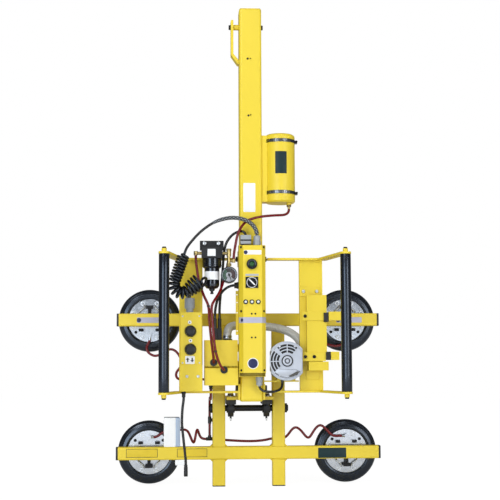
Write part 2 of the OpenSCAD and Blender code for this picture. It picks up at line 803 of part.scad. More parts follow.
module handle_half() {
  tab_h = 60;
  difference() {
    union() {
      for (z = handle_zs) {
        handle_bar(z);
        block([mast_half, handle_y - handle_w / 2, z - tab_h / 2],
          [mast_half + cheek_t, handle_y + handle_w / 2 - 2, z + tab_h / 2]);
      }
      rod_z(grip_x, grip_y, handle_zs[1] - 16, rod_d / 2 - 3, handle_gap + 32);
      rod_z(grip_x, grip_y, handle_zs[1], rod_d / 2, handle_gap);
    }
    for (z = bolt_zs) rod_x(mast_half - eps, bolt_y, z, bolt_hole_r, cheek_t + 2 * eps);
    block([mast_half + cheek_t, handle_y - handle_w, handle_zs[0] - handle_t],
      [mast_half + cheek_t + head_t + 4, bolt_y + bolt_r + 6, handle_zs[0] + handle_t]);
  }
}

module handle_bars() {
  color(yellow) {
    handle_half();
    mirror([1, 0, 0]) handle_half();
  }
}

module side_plate() {
  high = handle_zs[0] - handle_t / 2;
  low = handle_zs[1] + handle_t / 2;
  translate([side_x, side_front, low]) linear_extrude(high - low) difference() {
    translate([-side_w / 2, 0]) square([side_w, side_flange]);
    translate([-side_w / 2 + side_t, side_t]) square([side_w - 2 * side_t, side_flange]);
  }
}

module side_plates() {
  color(yellow) {
    side_plate();
    mirror([1, 0, 0]) side_plate();
  }
}

module grip() {
  high = handle_zs[0] - handle_t / 2;
  low = handle_zs[1] + handle_t / 2;
  translate([grip_x, grip_y, 0]) difference() {
    rod_z(0, 0, low, grip_d / 2, high - low);
    rod_z(0, 0, low - eps, rod_d / 2 + run_gap, high - low + 2 * eps);
  }
}

module grips() {
  color(black) {
    grip();
    mirror([1, 0, 0]) grip();
  }
}

// Pendant and its bracket
module pendant_bracket() {
  half = pendant_w / 2 + 2;
  lip = 3;
  shelf = pendant_low - lip;
  low = handle_zs[1] + handle_t / 2;
  color(yellow) {
    plate_yz(pendant_x - half, 2 * half) polygon([
      [pendant_front - lip - 1, low], [pendant_front - lip - 1, pendant_low + 12],
      [pendant_front - 1, pendant_low + 12],
      [pendant_front - 1, shelf + lip], [side_front, shelf + lip], [side_front, shelf - 40],
      [side_front - lip, shelf - 40], [side_front - lip, shelf],
      [pendant_front - 1, shelf], [pendant_front - 1, low]]);
    block([pendant_x - 20, pendant_rear, pendant_top - 80], [pendant_x + 20, side_front, pendant_top - 30]);
    block([pendant_x - half, pendant_front - lip - 1, low], [pendant_x + half, handle_y - 8, low + lip]);
  }
}

module pendant_case() {
  r = 4;
  wall = 3;
  color(yellow) difference() {
    translate([pendant_x, 0, pendant_low + pendant_h / 2])
      plate_xz(pendant_rear, pendant_d) rounded(pendant_w, pendant_h, r);
    block([pendant_x - pendant_w / 2 + wall, pendant_front + wall, pendant_low + wall],
      [pendant_x + pendant_w / 2 - wall, pendant_rear - wall, pendant_top - wall]);
    for (z = button_zs) rod_y(button_x, pendant_front - eps, z, button_d / 2 - 4 + run_gap, wall + 2 * eps);
  }
}

module button(z) {
  travel_gap = button_travel + 1;
  color(black) {
    rod_y(button_x, pendant_front - travel_gap - button_t, z, button_d / 2, button_t);
    rod_y(button_x, pendant_front - travel_gap, z, button_d / 2 - 4, travel_gap + 12);
  }
}

module upper_button() { button(button_zs[0]); }

module lower_button() { button(button_zs[1]); }

// Storage bracket on the right side plate
module storage_bracket() {
  level = handle_zs[0];
  front = side_front - 38;
  left = side_x - 21;
  right = side_x + 56;
  high = level - 142;
  low = level - 375;
  strap = 34;
  color(yellow) {
    block([side_x - side_w / 2, side_front - 4, level - 145],
      [side_x + side_w / 2 - 10, side_front, level - 107]);
    difference() {
      block([left, front, low], [right, side_front - 4, high]);
      block([left + 4, front + 4, low - eps], [right - 4, side_front, high + eps]);
    }
    for (s = [[level - 207, 12], [level - 363, 5]])
      block([side_x - side_w / 2 + 6, front - 4, s[0] - strap], [right - s[1], front, s[0]]);
    block([right + 7, front - 14, level - 241], [right + 69, front + 10, level - 207]);
    block([right + 14, front - 14, level - 393], [right + 46, front + 10, level - 361]);
    difference() {
      block([left + 6, front - 2, level - 433], [right + 6, side_front, level - 399]);
      block([left + 12, front + 2, level - 429], [right + 6 + eps, side_front - 4, level - 403]);
    }
    block([left, side_front - 4, level - 467], [right - 26, side_front, level - 433]);
  }
}

module storage_pads() {
  level = handle_zs[0];
  front = side_front - 38;
  right = side_x + 56;
  color(black) {
    block([right - 12, front - 12, level - 247], [right + 7, front, level - 211]);
    block([right - 5, front - 12, level - 393], [right + 14, front, level - 361]);
  }
}

// Filter and gauge
module filter_bracket() {
  half = filter_w / 2 + 6;
  back = filter_y + 26;
  bar_top = handle_zs[0] + handle_t / 2;
  color(black) {
    block([-filter_x - half, back - 4, head_top - 10], [-filter_x + half, back, filter_top]);
    block([-filter_x - 24, back, bar_top], [-filter_x + 24, handle_y - 6, bar_top + 5]);
    block([-filter_x - 24, back, bar_top], [-filter_x + 24, back + 5, filter_top - 2]);
  }
}

module filter_head() {
  depth = 48;
  color(black) difference() {
    union() {
      translate([-filter_x, 0, (head_top + head_low) / 2]) plate_xz(filter_y + depth / 2 - 2, depth)
        rounded(filter_w, head_top - head_low, 6);
      rod_z(-filter_x, filter_y, head_low, 25, 30);
    }
    for (side = [-1, 1])
      rod_x(-filter_x + side * filter_w / 2 - 9, filter_y, port_z, 6 + run_gap, 18);
  }
}

module filter_bowl() {
  color(black) translate([-filter_x, filter_y, 0]) rotate_extrude($fn = 64) polygon([
    [0, bowl_low], [10, bowl_low], [12, bowl_low + 6], [bowl_d / 2 - 8, bowl_low + 8],
    [bowl_d / 2 - 1, bowl_low + 16], [bowl_d / 2, bowl_low + 24], [bowl_d / 2, collar_low - 4],
    [collar_d / 2 - 2, collar_low], [collar_d / 2, collar_low + 3],
    [collar_d / 2, head_low - 3], [collar_d / 2 - 2, head_low], [0, head_low]]);
}

// Nipples, tee, elbows and barbs
module brass_fittings() {
  port_in = 8;
  right = -filter_x + filter_w / 2;
  left = -filter_x - filter_w / 2;
  gauge_top = gauge_z + gauge_d / 2 + 3;
  side_x_in = 19;
  color(brass) {
    rod_x(right - port_in, filter_y, port_z, 6, gauge_x - right + port_in);
    rod_z(gauge_x, filter_y, port_z - 12, 9, 24);
    rod_z(gauge_x, filter_y, port_z + 10, 10, 8, 6);
    rod_z(gauge_x, filter_y, gauge_top, 6, port_z - 12 - gauge_top);
    rod_z(gauge_x, filter_y, gauge_top + 2, 10, 10, 6);
    rod_x(gauge_x, filter_y, port_z - 30, 5, side_x_in + 5);
    rod_z(gauge_x + side_x_in, filter_y, port_z - 36, 6, 14);
    rod_y(gauge_x, filter_y, port_z, 5, 23);
    rod_z(gauge_x, -172, port_z - 12, 6, 18);
    rod_x(left - 22, filter_y, port_z, 6, 22 + port_in);
    rod_z(left - 22, filter_y, port_z - 7, 8, 15);
    rod_z(tank_port_x, mast_y, tank_low - 22, 5, 16);
    rod_z(tank_port_x, mast_y, tank_low - 14, 9, 8, 6);
  }
}

module gauge_case() {
  rim = 5;
  color(black) {
    difference() {
      rod_y(gauge_x, gauge_front, gauge_z, gauge_d / 2, gauge_t);
      rod_y(gauge_x, gauge_front - eps, gauge_z, gauge_d / 2 - rim, 10 + eps);
      rod_y(gauge_x, gauge_front + 10 - eps, gauge_z, 2 + run_gap, 8);
    }
    rod_z(gauge_x, filter_y, gauge_z + gauge_d / 2 - 4, 6, 7);
  }
}

module gauge_needle() {
  dial = gauge_front + 10;
  reach = gauge_d / 2 - 9;
  color(black) {
    rod_y(gauge_x, dial - 4, gauge_z, 2, 10);
    rod_y(gauge_x, dial - 5, gauge_z, 4.5, 3);
    translate([gauge_x, 0, gauge_z]) rotate([0, -20, 0]) plate_xz(dial - 2, 1.5)
      polygon([[-2.5, 6], [2.5, 6], [0.8, -reach], [-0.8, -reach]]);
  }
}

// Valve box: folded sheet with a stepped front
module valve_shape(inset) {
  polygon([
    [valve_rear - inset, valve_low + inset], [valve_rear - inset, valve_top - inset],
    [valve_front + inset, valve_top - inset], [valve_front + inset, valve_step_z + inset / 2],
    [valve_front - valve_step + inset, valve_step_z - 6],
    [valve_front - valve_step + inset, valve_low + inset]]);
}

module valve_box() {
  color(yellow) difference() {
    plate_yz(valve_l, valve_r - valve_l) valve_shape(0);
    plate_yz(valve_l + sheet, valve_r - valve_l - 2 * sheet) valve_shape(sheet);
    rod_y(grommet_a[0], valve_front - eps, grommet_a[1], grommet_r - 4, sheet + 2 * eps);
    rod_y(grommet_b[0], valve_front - valve_step - eps, grommet_b[1], grommet_r - 4, sheet + 2 * eps);
  }
  color(yellow) for (up = [169, 59])
    block([valve_r, mast_y - 20, handle_zs[1] + up - 15], [-mast_half, mast_y - 4, handle_zs[1] + up + 15]);
}

module grommet(x, y, z) {
  rod_y(x, y - 4, z, grommet_r, 4);
  rod_y(x, y - 8, z, grommet_r - 5, 4);
}

// Grommets on the front of the valve box, moulded plugs on its top, and the black glands
module valve_plugs() {
  color(black) {
    grommet(grommet_a[0], valve_front, grommet_a[1]);
    grommet(grommet_b[0], valve_front - valve_step, grommet_b[1]);
    for (p = [[-141, -130], [-123, -126]]) {
      block([p[0] - 8.5, p[1] - 14, valve_top], [p[0] + 8.5, p[1] + 14, valve_top + 46]);
      rod_z(p[0], p[1], valve_top + 46, 7.5, 38);
    }
    translate([-box_w / 2, -172, box_top - 154]) rotate([0, -90, 0]) gland(13, 16);
    translate([lead_route[0][0], lead_route[0][1], handle_zs[1] + handle_t / 2])
      mirror([0, 0, 1]) gland(8, 22);
    translate([-156, -94, valve_low]) mirror([0, 0, 1]) gland(8, 16);
    rod_z(-92, -100, valve_top, pump_hose_d / 2 + 3, 6);
  }
}

// Motor and pump
module motor_outline(r, w) {
  intersection() {
    circle(r, $fn = 96);
    square([w, 3 * r], center = true);
  }
}

module motor_body() {
  start = motor_front + bell_d;
  color(black) {
    translate([motor_x, 0, motor_z]) {
      plate_xz(motor_back, motor_back - start) motor_outline(motor_r - 4, motor_w - 14);
      for (k = [-2 : 2]) translate([0, k * 12, 0]) plate_xz((start + motor_back) / 2 + 8, 5)
        motor_outline(motor_r - 1, motor_w - 12);
    }
    rod_y(motor_x, motor_front + 14, motor_z, motor_shaft_r, start - motor_front - 14);
    rod_z(motor_route[7][0], motor_route[7][1], motor_route[7][2] + seat_gap, 6, 20);
  }
}

module arc_slot(r1, r2, a1, a2) {
  steps = 8;
  polygon(concat(
    [for (k = [0 : steps]) r1 * [cos(mix(a1, a2, k / steps)), sin(mix(a1, a2, k / steps))]],
    [for (k = [steps : -1 : 0]) r2 * [cos(mix(a1, a2, k / steps)), sin(mix(a1, a2, k / steps))]]));
}

// Cast end bell with rows of arc slots in its upper and left sectors
module fan_cover() {
  wall = 4;
  color(grey) translate([motor_x, 0, motor_z]) difference() {
    union() {
      plate_xz(motor_front + bell_d, bell_d - 10) motor_outline(motor_r, motor_w);
      plate_xz(motor_front + 10, 6) motor_outline(motor_r - 4, motor_w - 4);
      plate_xz(motor_front + 4, 4) motor_outline(motor_r - 10, motor_w - 8);
      rod_y(0, motor_front - 4, 0, 20, 6);
    }
    plate_xz(motor_front + bell_d + eps, bell_d - wall + eps) motor_outline(motor_r - 9, motor_w - 12);
    plate_xz(motor_front + wall + 1, wall + 2) for (sector = [[52, 88], [92, 128], [142, 178], [182, 218]])
      for (row = [0 : 2]) arc_slot(28 + row * 10, 34.6 + row * 10, sector[0] + row, sector[1] - row);
    rod_y(0, motor_front - 4 - eps, 0, 7, 3 + eps);
  }
}

module cooling_fan() {
  start = motor_front + 16;
  deep = bell_d - 22;
  color(black) translate([motor_x, 0, motor_z]) {
    difference() {
      union() {
        rod_y(0, start, 0, 14, deep);
        for (k = [0 : blades - 1]) rotate([0, 360 * k / blades, 0])
          block([12, start + 1, -1.5], [fan_r, start + deep - 1, 1.5]);
      }
      rod_y(0, start - eps, 0, motor_shaft_r + run_gap, deep + 2 * eps);
    }
  }
}

// Diaphragm pump head behind the motor, with cooling fins and an inlet elbow
module pump_head() {
  fins = 5;
  pitch = (pump_back - motor_back) / fins;
  color(grey) {
    translate([motor_x, 0, motor_z]) {
      plate_xz(pump_back, pump_back - motor_back) motor_outline(motor_r - 22, motor_w - 30);
      for (k = [0 : fins - 1]) plate_xz(motor_back + k * pitch + pitch * 0.6, pitch * 0.4)
        motor_outline(motor_r - 10, motor_w - 14);
    }
    rod_x(motor_x + 40, -44, motor_z + 10, 15, 57);
    rod_z(motor_x + 72, -44, motor_z - 8, 18, 36);
    rod_z(motor_x + 72, -44, motor_z + 28, 13, 15);
  }
}

module motor_bracket() {
  low = motor_z - motor_r;
  front = mast_front + 2;
  back = cheek_front - 2;
  t = 5;
  color(yellow) {
    block([mast_half, front, low - t], [motor_x + 50, back, low]);
    block([mast_half, front, low], [mast_half + t, back, low + 74]);
    difference() {
      block([motor_x - 36, front, low], [motor_x + 36, back, low + 8]);
      rod_y(motor_x, front - eps, motor_z, motor_r - 1 + seat_gap, back - front + 2 * eps);
    }
  }
}

// Hoses, cables and cords carried by the mast
module pump_hose() {
  color(grey) hose(pump_route, pump_hose_d, pump_hose_sides, 2);
}

module pendant_cable() {
  color(black) hose(arch_route, cable_d, hose_sides, 2);
}

module curly_cord() {
  color(black) sweep(coil_points, cord_d, cord_sides);
}

module red_hoses() {
  color(hose_red) {
    hose(tank_route);
    hose(left_route);
    hose(right_route);
  }
}

module black_cables() {
  color(black) {
    hose(connector_route, cable_d);
    hose(control_route, cable_d);
    hose(motor_route, cable_d);
  }
}

module power_lead() {
  color(black) hose(lead_route, lead_d);
}

module lead_plug() {
  end = lead_route[len(lead_route) - 1];
  color(black) translate(end) mirror([0, 0, 1]) {
    cylinder(r = lead_d / 2 + 1.5, h = 10);
    translate([0, 0, 10]) cylinder(r = lead_d / 2 + 2.5, h = lead_plug_len - 10);
  }
}

module supply_hose() {
  color(hose_red) hose(supply_route);
}

// Tilting frame
module cross_bar(z) {
  translate([-bar_half, shaft_y, z]) rotate([90, 0, 90])
    linear_extrude(2 * bar_half) tube_section(tube_w, tube_wall, tube_corner);
}

module cross_bars() {
  color(yellow) for (z = [upper_z, lower_z]) cross_bar(z);
}

module spine_gussets(z, dir) {
  for (side = [-1, 1]) translate([side * tube_half, 0, z]) plate_xz(shaft_y + 16, 32)
    polygon([[0, 0], [side * gusset, 0], [0, dir * gusset]]);
}

module spine(x) {
  main_low = lower_z + tube_half;
  main_high = upper_z - tube_half;
  stub_low = feet_z + plug_t / 2;
  difference() {
    translate([x, 0, 0]) {
      translate([0, shaft_y, main_low])
        linear_extrude(main_high - main_low) tube_section(tube_w, tube_wall, tube_corner);
      spine_gussets(main_low, 1);
      spine_gussets(main_high, -1);
    }
    rod_x(x - tube_w, shaft_y, shaft_z, shaft_d / 2 + run_gap, 2 * tube_w);
  }
  translate([x, 0, 0]) {
    translate([0, shaft_y, stub_low])
      linear_extrude(foot_len - plug_t / 2) tube_section(tube_w, tube_wall, tube_corner);
    spine_gussets(lower_z - tube_half, -1);
  }
}

module spines() {
  color(yellow) for (x = [-1, 1]) spine(x * spine_x);
}

module tube_plug(t) {
  linear_extrude(t) rounded(tube_w, tube_w, tube_corner);
  translate([0, 0, -14]) linear_extrude(14)
    rounded(tube_w - 2 * tube_wall - 1, tube_w - 2 * tube_wall - 1, 2);
}

module end_plugs() {
  color(black) {
    for (z = [upper_z, lower_z], side = [0, 1]) mirror([side, 0, 0])
      translate([bar_half, shaft_y, z]) rotate([90, 0, 90]) tube_plug(plug_t);
    for (x = [-1, 1]) translate([x * spine_x, shaft_y, feet_z + plug_t / 2])
      mirror([0, 0, 1]) tube_plug(plug_t / 2);
  }
}

module tilt_shaft() {
  nut = 10;
  outer = spine_x + tube_half;
  color(steel) {
    rod_x(-shaft_half - nut, shaft_y, shaft_z, shaft_d / 2, 2 * shaft_half + 2 * nut);
    for (side = [0, 1]) mirror([side, 0, 0]) rod_x(outer, shaft_y, shaft_z, shaft_d / 2 + 6, nut, 6);
  }
}

// Pad posts on the bars, each with a T tab on the outer side
module pad_mount(x, z, outer) {
  half = 38;
  stem = 46;
  difference() {
    block([x - half, bar_rear, z - tube_half], [x + half, bar_rear + mount_t, z + tube_half]);
  }
  translate([x, 0, z]) mirror([0, 0, outer > 0 ? 0 : 1]) {
    block([-6, bar_rear, tube_half], [6, bar_rear + mount_t, stem]);
    block([-15, bar_rear - 8, stem], [15, bar_rear + mount_t, stem + 14]);
  }
  rod_y(x, bar_rear + mount_t, z, post_d / 2, nut_y + nut_t - bar_rear - mount_t);
  rod_y(x, nut_y, z, post_d / 2 + 8, nut_t, 6);
}

module pad_mounts() {
  color(black) for (x = [-1, 1]) {
    pad_mount(x * pad_x, upper_z, 1);
    pad_mount(x * pad_x, lower_z, -1);
  }
}

// Rubber cup with its flange behind the plate and a flat sealing lip
module pad_ring(x, z) {
  flange = plate_d / 2 - 15;
  back = plate_y + plate_t;
  color(black) translate([x, 0, z]) rotate([-90, 0, 0]) rotate_extrude($fn = 96) polygon([
    [flange, back], [plate_d / 2 + 0.4, back], [plate_d / 2 + 0.4, plate_y + 1],
    [plate_d / 2 + 3, plate_y - 1], [plate_d / 2 + 12, plate_y - 2], [pad_r - 16, plate_y + 1],
    [pad_r - 7, plate_y + 6], [pad_r - 2, plate_y + 13],
    [pad_r, plate_y + 20], [pad_r, lip_y - 2], [pad_r - 1, lip_y], [pad_r - 8, lip_y],
    [pad_r - 18, lip_y - 8], [plate_d / 2 + 8, back + 9], [flange, back + 8]]);
}

// Plated steel disc with its hub, bolts and hose elbow
module pad_plate(x, z, inner) {
  bolt_ring = plate_d / 2 - 12;
  color(zinc) difference() {
    union() {
      rod_y(x, plate_y, z, plate_d / 2, plate_t);
      rod_y(x, hub_front, z, hub_d / 2, plate_y - hub_front);
      for (k = [0 : 7]) rotate_about(x, z, 22.5 + 45 * k) rod_y(bolt_ring, plate_y - 5, 0, 5.5, 5, 6);
      for (side = [-1, 1]) block([x + side * 34 - 12, plate_y - 14, z + inner * 40 - 8],
        [x + side * 34 + 12, plate_y, z + inner * 40 + 6]);
      rod_y(x, barb_y - 8, z + inner * barb_off, 8, plate_y - barb_y + 8);
      if (inner < 0) rod_z(x, barb_y, z - barb_off - 18, 5, 18);
      else rod_x(x > 0 ? x - 18 : x, barb_y, z + barb_off, 5, 18);
    }
    rod_y(x, hub_front - eps, z, post_d / 2 + run_gap, plate_y - hub_front + plate_t + 2 * eps);
  }
}

module rotate_about(x, z, a) {
  translate([x, 0, z]) rotate([0, a, 0]) children();
}

module pad_ring_ul() { pad_ring(-pad_x, upper_z); }
module pad_ring_ur() { pad_ring(pad_x, upper_z); }
module pad_ring_ll() { pad_ring(-pad_x, lower_z); }
module pad_ring_lr() { pad_ring(pad_x, lower_z); }
module pad_plate_ul() { pad_plate(-pad_x, upper_z, -1); }
module pad_plate_ur() { pad_plate(pad_x, upper_z, -1); }
module pad_plate_ll() { pad_plate(-pad_x, lower_z, 1); }
module pad_plate_lr() { pad_plate(pad_x, lower_z, 1); }

// Plastic tees that join the frame hoses: one beside the left spine, two near the lower bar
module hose_tees() {
  r = 7;
  y = spine_route[0][1];
  top = spine_route[0][2];
  low = spine_route[3][2];
  color(black) {
    rod_z(-156, y, top + seat_gap, r, 28);
    rod_x(-156, y, top + 14, r, 16);
    for (x = [-156, spine_x]) {
      rod_x(x - 14, y, low - 14, r, 28);
      rod_z(x, y, low - 14, r, 14 - seat_gap);
    }
  }
}

module frame_hoses() {
  color(hose_red) {
    hose(spine_route);
    hose(wave_route);
    hose(cross_route);
    hose(right_wave_route);
    hose(upper_left_route);
    hose(upper_right_route);
  }
}

mast_tube();
mast_caps();
lift_lug();
hanger_hook();
tilt_bracket();
bearing_blocks();
frame_bolts();
control_box();
control_cover();
panel_fittings();
cable_glands();
switch_knob();
reserve_tank();
tank_cradle();
tank_straps();
handle_bars();
side_plates();
grips();
pendant_bracket();
pendant_case();
upper_button();
lower_button();
storage_bracket();
storage_pads();
filter_bracket();
filter_head();
filter_bowl();
brass_fittings();
gauge_case();
gauge_needle();
valve_box();
valve_plugs();
motor_body();
fan_cover();
cooling_fan();
pump_head();
motor_bracket();
pump_hose();
pendant_cable();
curly_cord();
red_hoses();
black_cables();
power_lead();
lead_plug();
supply_hose();
cross_bars();
spines();
end_plugs();
tilt_shaft();
pad_mounts();
hose_tees();
frame_hoses();
pad_ring_ul();
pad_ring_ur();
pad_ring_ll();
pad_ring_lr();
pad_plate_ul();
pad_plate_ur();
pad_plate_ll();
pad_plate_lr();
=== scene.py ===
import math

import bpy
import numpy as np
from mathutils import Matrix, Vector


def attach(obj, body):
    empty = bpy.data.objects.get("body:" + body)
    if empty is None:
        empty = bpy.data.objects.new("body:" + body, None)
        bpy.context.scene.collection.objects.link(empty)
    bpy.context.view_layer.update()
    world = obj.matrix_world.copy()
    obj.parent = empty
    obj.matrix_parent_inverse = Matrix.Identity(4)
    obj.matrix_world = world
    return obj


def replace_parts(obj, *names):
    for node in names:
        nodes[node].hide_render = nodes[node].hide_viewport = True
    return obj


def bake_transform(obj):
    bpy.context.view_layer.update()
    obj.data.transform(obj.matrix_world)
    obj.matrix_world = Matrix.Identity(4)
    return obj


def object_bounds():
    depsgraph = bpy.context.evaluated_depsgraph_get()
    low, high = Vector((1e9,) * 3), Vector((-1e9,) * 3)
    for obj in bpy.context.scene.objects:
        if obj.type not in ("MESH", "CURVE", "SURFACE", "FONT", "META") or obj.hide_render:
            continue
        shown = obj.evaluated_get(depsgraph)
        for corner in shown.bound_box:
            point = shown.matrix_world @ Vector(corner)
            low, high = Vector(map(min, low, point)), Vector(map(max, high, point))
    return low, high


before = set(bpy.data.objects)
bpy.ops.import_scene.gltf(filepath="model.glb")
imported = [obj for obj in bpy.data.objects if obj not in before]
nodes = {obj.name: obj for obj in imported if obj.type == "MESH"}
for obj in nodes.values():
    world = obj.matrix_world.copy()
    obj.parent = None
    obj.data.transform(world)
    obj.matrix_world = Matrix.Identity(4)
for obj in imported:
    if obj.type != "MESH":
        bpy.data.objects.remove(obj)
cad_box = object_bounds()
scene = bpy.context.scene
scene.view_settings.view_transform = "Standard"
MM = 0.001

# Camera: a long lens in front of the lifter, a little to its left and low, tilted up,
# as the photograph was taken.
camera = bpy.data.objects.new("camera", bpy.data.cameras.new("camera"))
camera.data.lens = 84.9
camera.data.sensor_width = 36.0
camera.location = (-0.2702, -4.7093, -1.3535)
camera.rotation_euler = (math.pi / 2 + 0.0989, 0.004, -0.0578)
scene.collection.objects.link(camera)
scene.camera = camera


# Mast: square steel tube with welded caps, lifting lug, hanger strap and tilt bracket.
# All of it is cut, welded and then powder coated yellow in one piece, so paint covers the welds.
def linear(colour):
    """Linear RGBA of an sRGB hex colour: c / 12.92 in the dark, else ((c + 0.055) / 1.055) to the 2.4."""
    c = np.array([int(colour[k:k + 2], 16) for k in (1, 3, 5)]) / 255
    return (*np.where(c <= 0.04045, c / 12.92, ((c + 0.055) / 1.055) ** 2.4), 1.0)


def add(mat, kind, inputs, **settings):
    """A shader node: settings are its properties, inputs its sockets' values or what feeds them."""
    made = mat.node_tree.nodes.new("ShaderNode" + kind)
    for name, value in settings.items():
        setattr(made, name, value)
    for socket, value in inputs.items():
        if isinstance(value, bpy.types.NodeSocket):
            mat.node_tree.links.new(value, made.inputs[socket])
        else:
            made.inputs[socket].default_value = value
    return made


def finish(name, colour, shade, rough, grain_mm, rise_mm, patch_mm=90, edge_mm=0.0, sockets=None):
    """A surface whose colour drifts to shade in soft patches, with roughness that drifts with them
    and a grain that stands rise_mm proud. edge_mm rounds the corners as the light sees them."""
    mat = bpy.data.materials.new(name)
    mat.use_nodes = True
    shader = mat.node_tree.nodes["Principled BSDF"]
    link = mat.node_tree.links.new
    for socket, value in (sockets or {}).items():
        shader.inputs[socket].default_value = value
    where = add(mat, "TexCoord", {}).outputs["Object"]
    patches = add(mat, "TexNoise", {"Vector": where, "Scale": 1 / (patch_mm * MM), "Detail": 5.0}).outputs["Fac"]
    tone = add(mat, "Mix", {0: patches, 6: linear(colour), 7: linear(shade)}, data_type="RGBA")
    link(tone.outputs[2], shader.inputs["Base Color"])
    worn = add(mat, "MapRange", {"Value": patches, "From Min": 0.3, "From Max": 0.7,
                                 "To Min": rough * 0.85, "To Max": rough * 1.15})
    link(worn.outputs["Result"], shader.inputs["Roughness"])
    grain = add(mat, "TexNoise", {"Vector": where, "Scale": 1 / (grain_mm * MM), "Detail": 2.0}).outputs["Fac"]
    bump = add(mat, "Bump", {"Height": grain, "Distance": rise_mm * MM, "Strength": 1.0})
    if edge_mm:
        soft_edge = add(mat, "Bevel", {"Radius": edge_mm * MM}, samples=4)
        link(soft_edge.outputs["Normal"], bump.inputs["Normal"])
    link(bump.outputs["Normal"], shader.inputs["Normal"])
    return mat


def coat(mat, *names):
    """Gives CAD nodes their finish."""
    for name in names:
        nodes[name].data.materials.clear()
        nodes[name].data.materials.append(mat)


# Polyester powder coat: fairly glossy, with orange peel about 3 mm across
yellow_coat = finish("yellow_powder_coat", "#e9d036", "#e3c82e", 0.38, 3.0, 0.05, 160, 1.6, {"IOR": 1.5})
coat(yellow_coat, "mast_tube", "mast_caps", "lift_lug", "hanger_hook", "tilt_bracket")


def volume(rings):
    """Signed volume inside rings: the sum of a . (b x c) over the triangles of the walls and the two ends."""
    r = rings - rings.mean((0, 1))
    s = np.roll(r, -1, axis=1)
    walls = r[:-1] * np.cross(s[:-1], s[1:]) + r[:-1] * np.cross(s[1:], r[1:])
    ends = r[-1].mean(0) * np.cross(r[-1], s[-1]) - r[0].mean(0) * np.cross(r[0], s[0])
    return walls.sum() + ends.sum()


def skin(name, *stacks, loop=False, uv=False, angle=38):
    """One mesh from stacks of rings, each an array (stations, points round, 3). Quads join each ring
    to the next, and an n-gon closes each end, or with loop the last ring joins the first."""
    points, faces, corners, start = [], [], [], 0
    for rings in stacks:
        rings = np.asarray(rings, float)
        stations, round_, _ = rings.shape
        i, j = np.meshgrid(np.arange(stations if loop else stations - 1), np.arange(round_), indexing="ij")
        up, on = (i + 1) % stations, (j + 1) % round_
        quads = np.stack([i * round_ + j, i * round_ + on, up * round_ + on, up * round_ + j], -1).reshape(-1, 4)
        along = np.r_[0, np.cumsum(np.linalg.norm(np.diff(rings.mean(1), axis=0), axis=1))]
        girth = np.linalg.norm(rings[0, 1] - rings[0, 0])
        across = np.stack([j, j + 1, j + 1, j], -1).reshape(-1, 4) * girth
        lengths = np.stack([along[i], along[i], along[up], along[up]], -1).reshape(-1, 4)
        maps = np.stack([across, lengths], -1)
        whole = np.concatenate([rings, rings[:1]]) if loop else rings
        turn = -1 if volume(whole) < 0 else 1
        faces += (quads[:, ::turn] + start).tolist()
        corners.append(maps[:, ::turn].reshape(-1, 2))
        if not loop:
            first, last = start + np.arange(round_), start + (stations - 1) * round_ + np.arange(round_)
            faces += [first[::-turn].tolist(), last[::turn].tolist()]
            corners.append(np.zeros((2 * round_, 2)))
        points.append(rings.reshape(-1, 3))
        start += stations * round_
    mesh = bpy.data.meshes.new(name)
    mesh.from_pydata(np.concatenate(points).tolist(), [], faces)
    if uv:
        mesh.uv_layers.new(name="UVMap").data.foreach_set("uv", np.concatenate(corners).ravel())
    mesh.polygons.foreach_set("use_smooth", np.ones(len(mesh.polygons), bool))
    mesh.set_sharp_from_angle(angle=math.radians(angle))
    made = bpy.data.objects.new(name, mesh)
    scene.collection.objects.link(made)
    return made


def unit(v):
    """A vector, or each of an array of them, over its own length."""
    v = np.asarray(v, float)
    return v / np.linalg.norm(v, axis=-1, keepdims=True)


def square_pair(axis):
    """Two directions square to axis and to each other, in a right-handed turn about it."""
    axis = unit(axis)
    first = unit(np.cross(axis, (0, 0, 1) if abs(axis[2]) < 0.8 else (0, 1, 0)))
    return first, np.cross(axis, first)


def turned(place, axis, profile, sides=32):
    """Rings of a turned shape, sizes in mm: place + h axis + r (cos a U + sin a V) for each (r, h)."""
    u, v = square_pair(axis)
    r, h = MM * np.asarray(profile, float).T
    a = 2 * np.pi * np.arange(sides) / sides
    spokes = np.cos(a)[:, None] * u + np.sin(a)[:, None] * v
    return MM * np.asarray(place, float) + h[:, None, None] * unit(axis) + r[:, None, None] * spokes


def outline(w, h, corner, steps=5):
    """Rounded rectangle about zero: each corner is a quarter circle of that radius."""
    a = np.pi / 2 * (np.arange(4)[:, None] + np.linspace(0, 1, steps + 1))
    centre = np.array([[1, 1], [-1, 1], [-1, -1], [1, -1]]) * (np.array([w, h]) / 2 - corner)
    return (centre[:, None] + corner * np.stack([np.cos(a), np.sin(a)], -1)).reshape(-1, 2)


def slab(place, across, up, w, h, t, corner, edge):
    """Rings of a plate on the plane through place, sizes in mm: the outline at the plane, then
    shrunk along a quarter circle of radius edge until it is t high."""
    across, up = unit(across), unit(up)
    a = np.linspace(0, np.pi / 2, 4)
    inset = np.r_[0, edge * (1 - np.cos(a))]
    height = np.r_[0, t - edge + edge * np.sin(a)]
    flat = np.stack([outline(w - 2 * s, h - 2 * s, max(corner - s, 0.05)) for s in inset])
    lift = height[:, None, None] * np.cross(across, up)
    return MM * (np.asarray(place, float) + flat[..., :1] * across + flat[..., 1:] * up + lift)


def fit(obj, body, mat):
    """Gives a piece its finish and its body."""
    obj.data.materials.append(mat)
    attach(obj, body)
    return obj


def piece(name, stacks, mat, loop=False):
    """A piece of the mast's body, made of stacks of rings."""
    return fit(skin(name, *stacks, loop=loop), "mast", mat)


FRONT = (1, 0, 0), (0, 0, 1)
OUT = np.array([0, -1, 0])
mast_front = -150
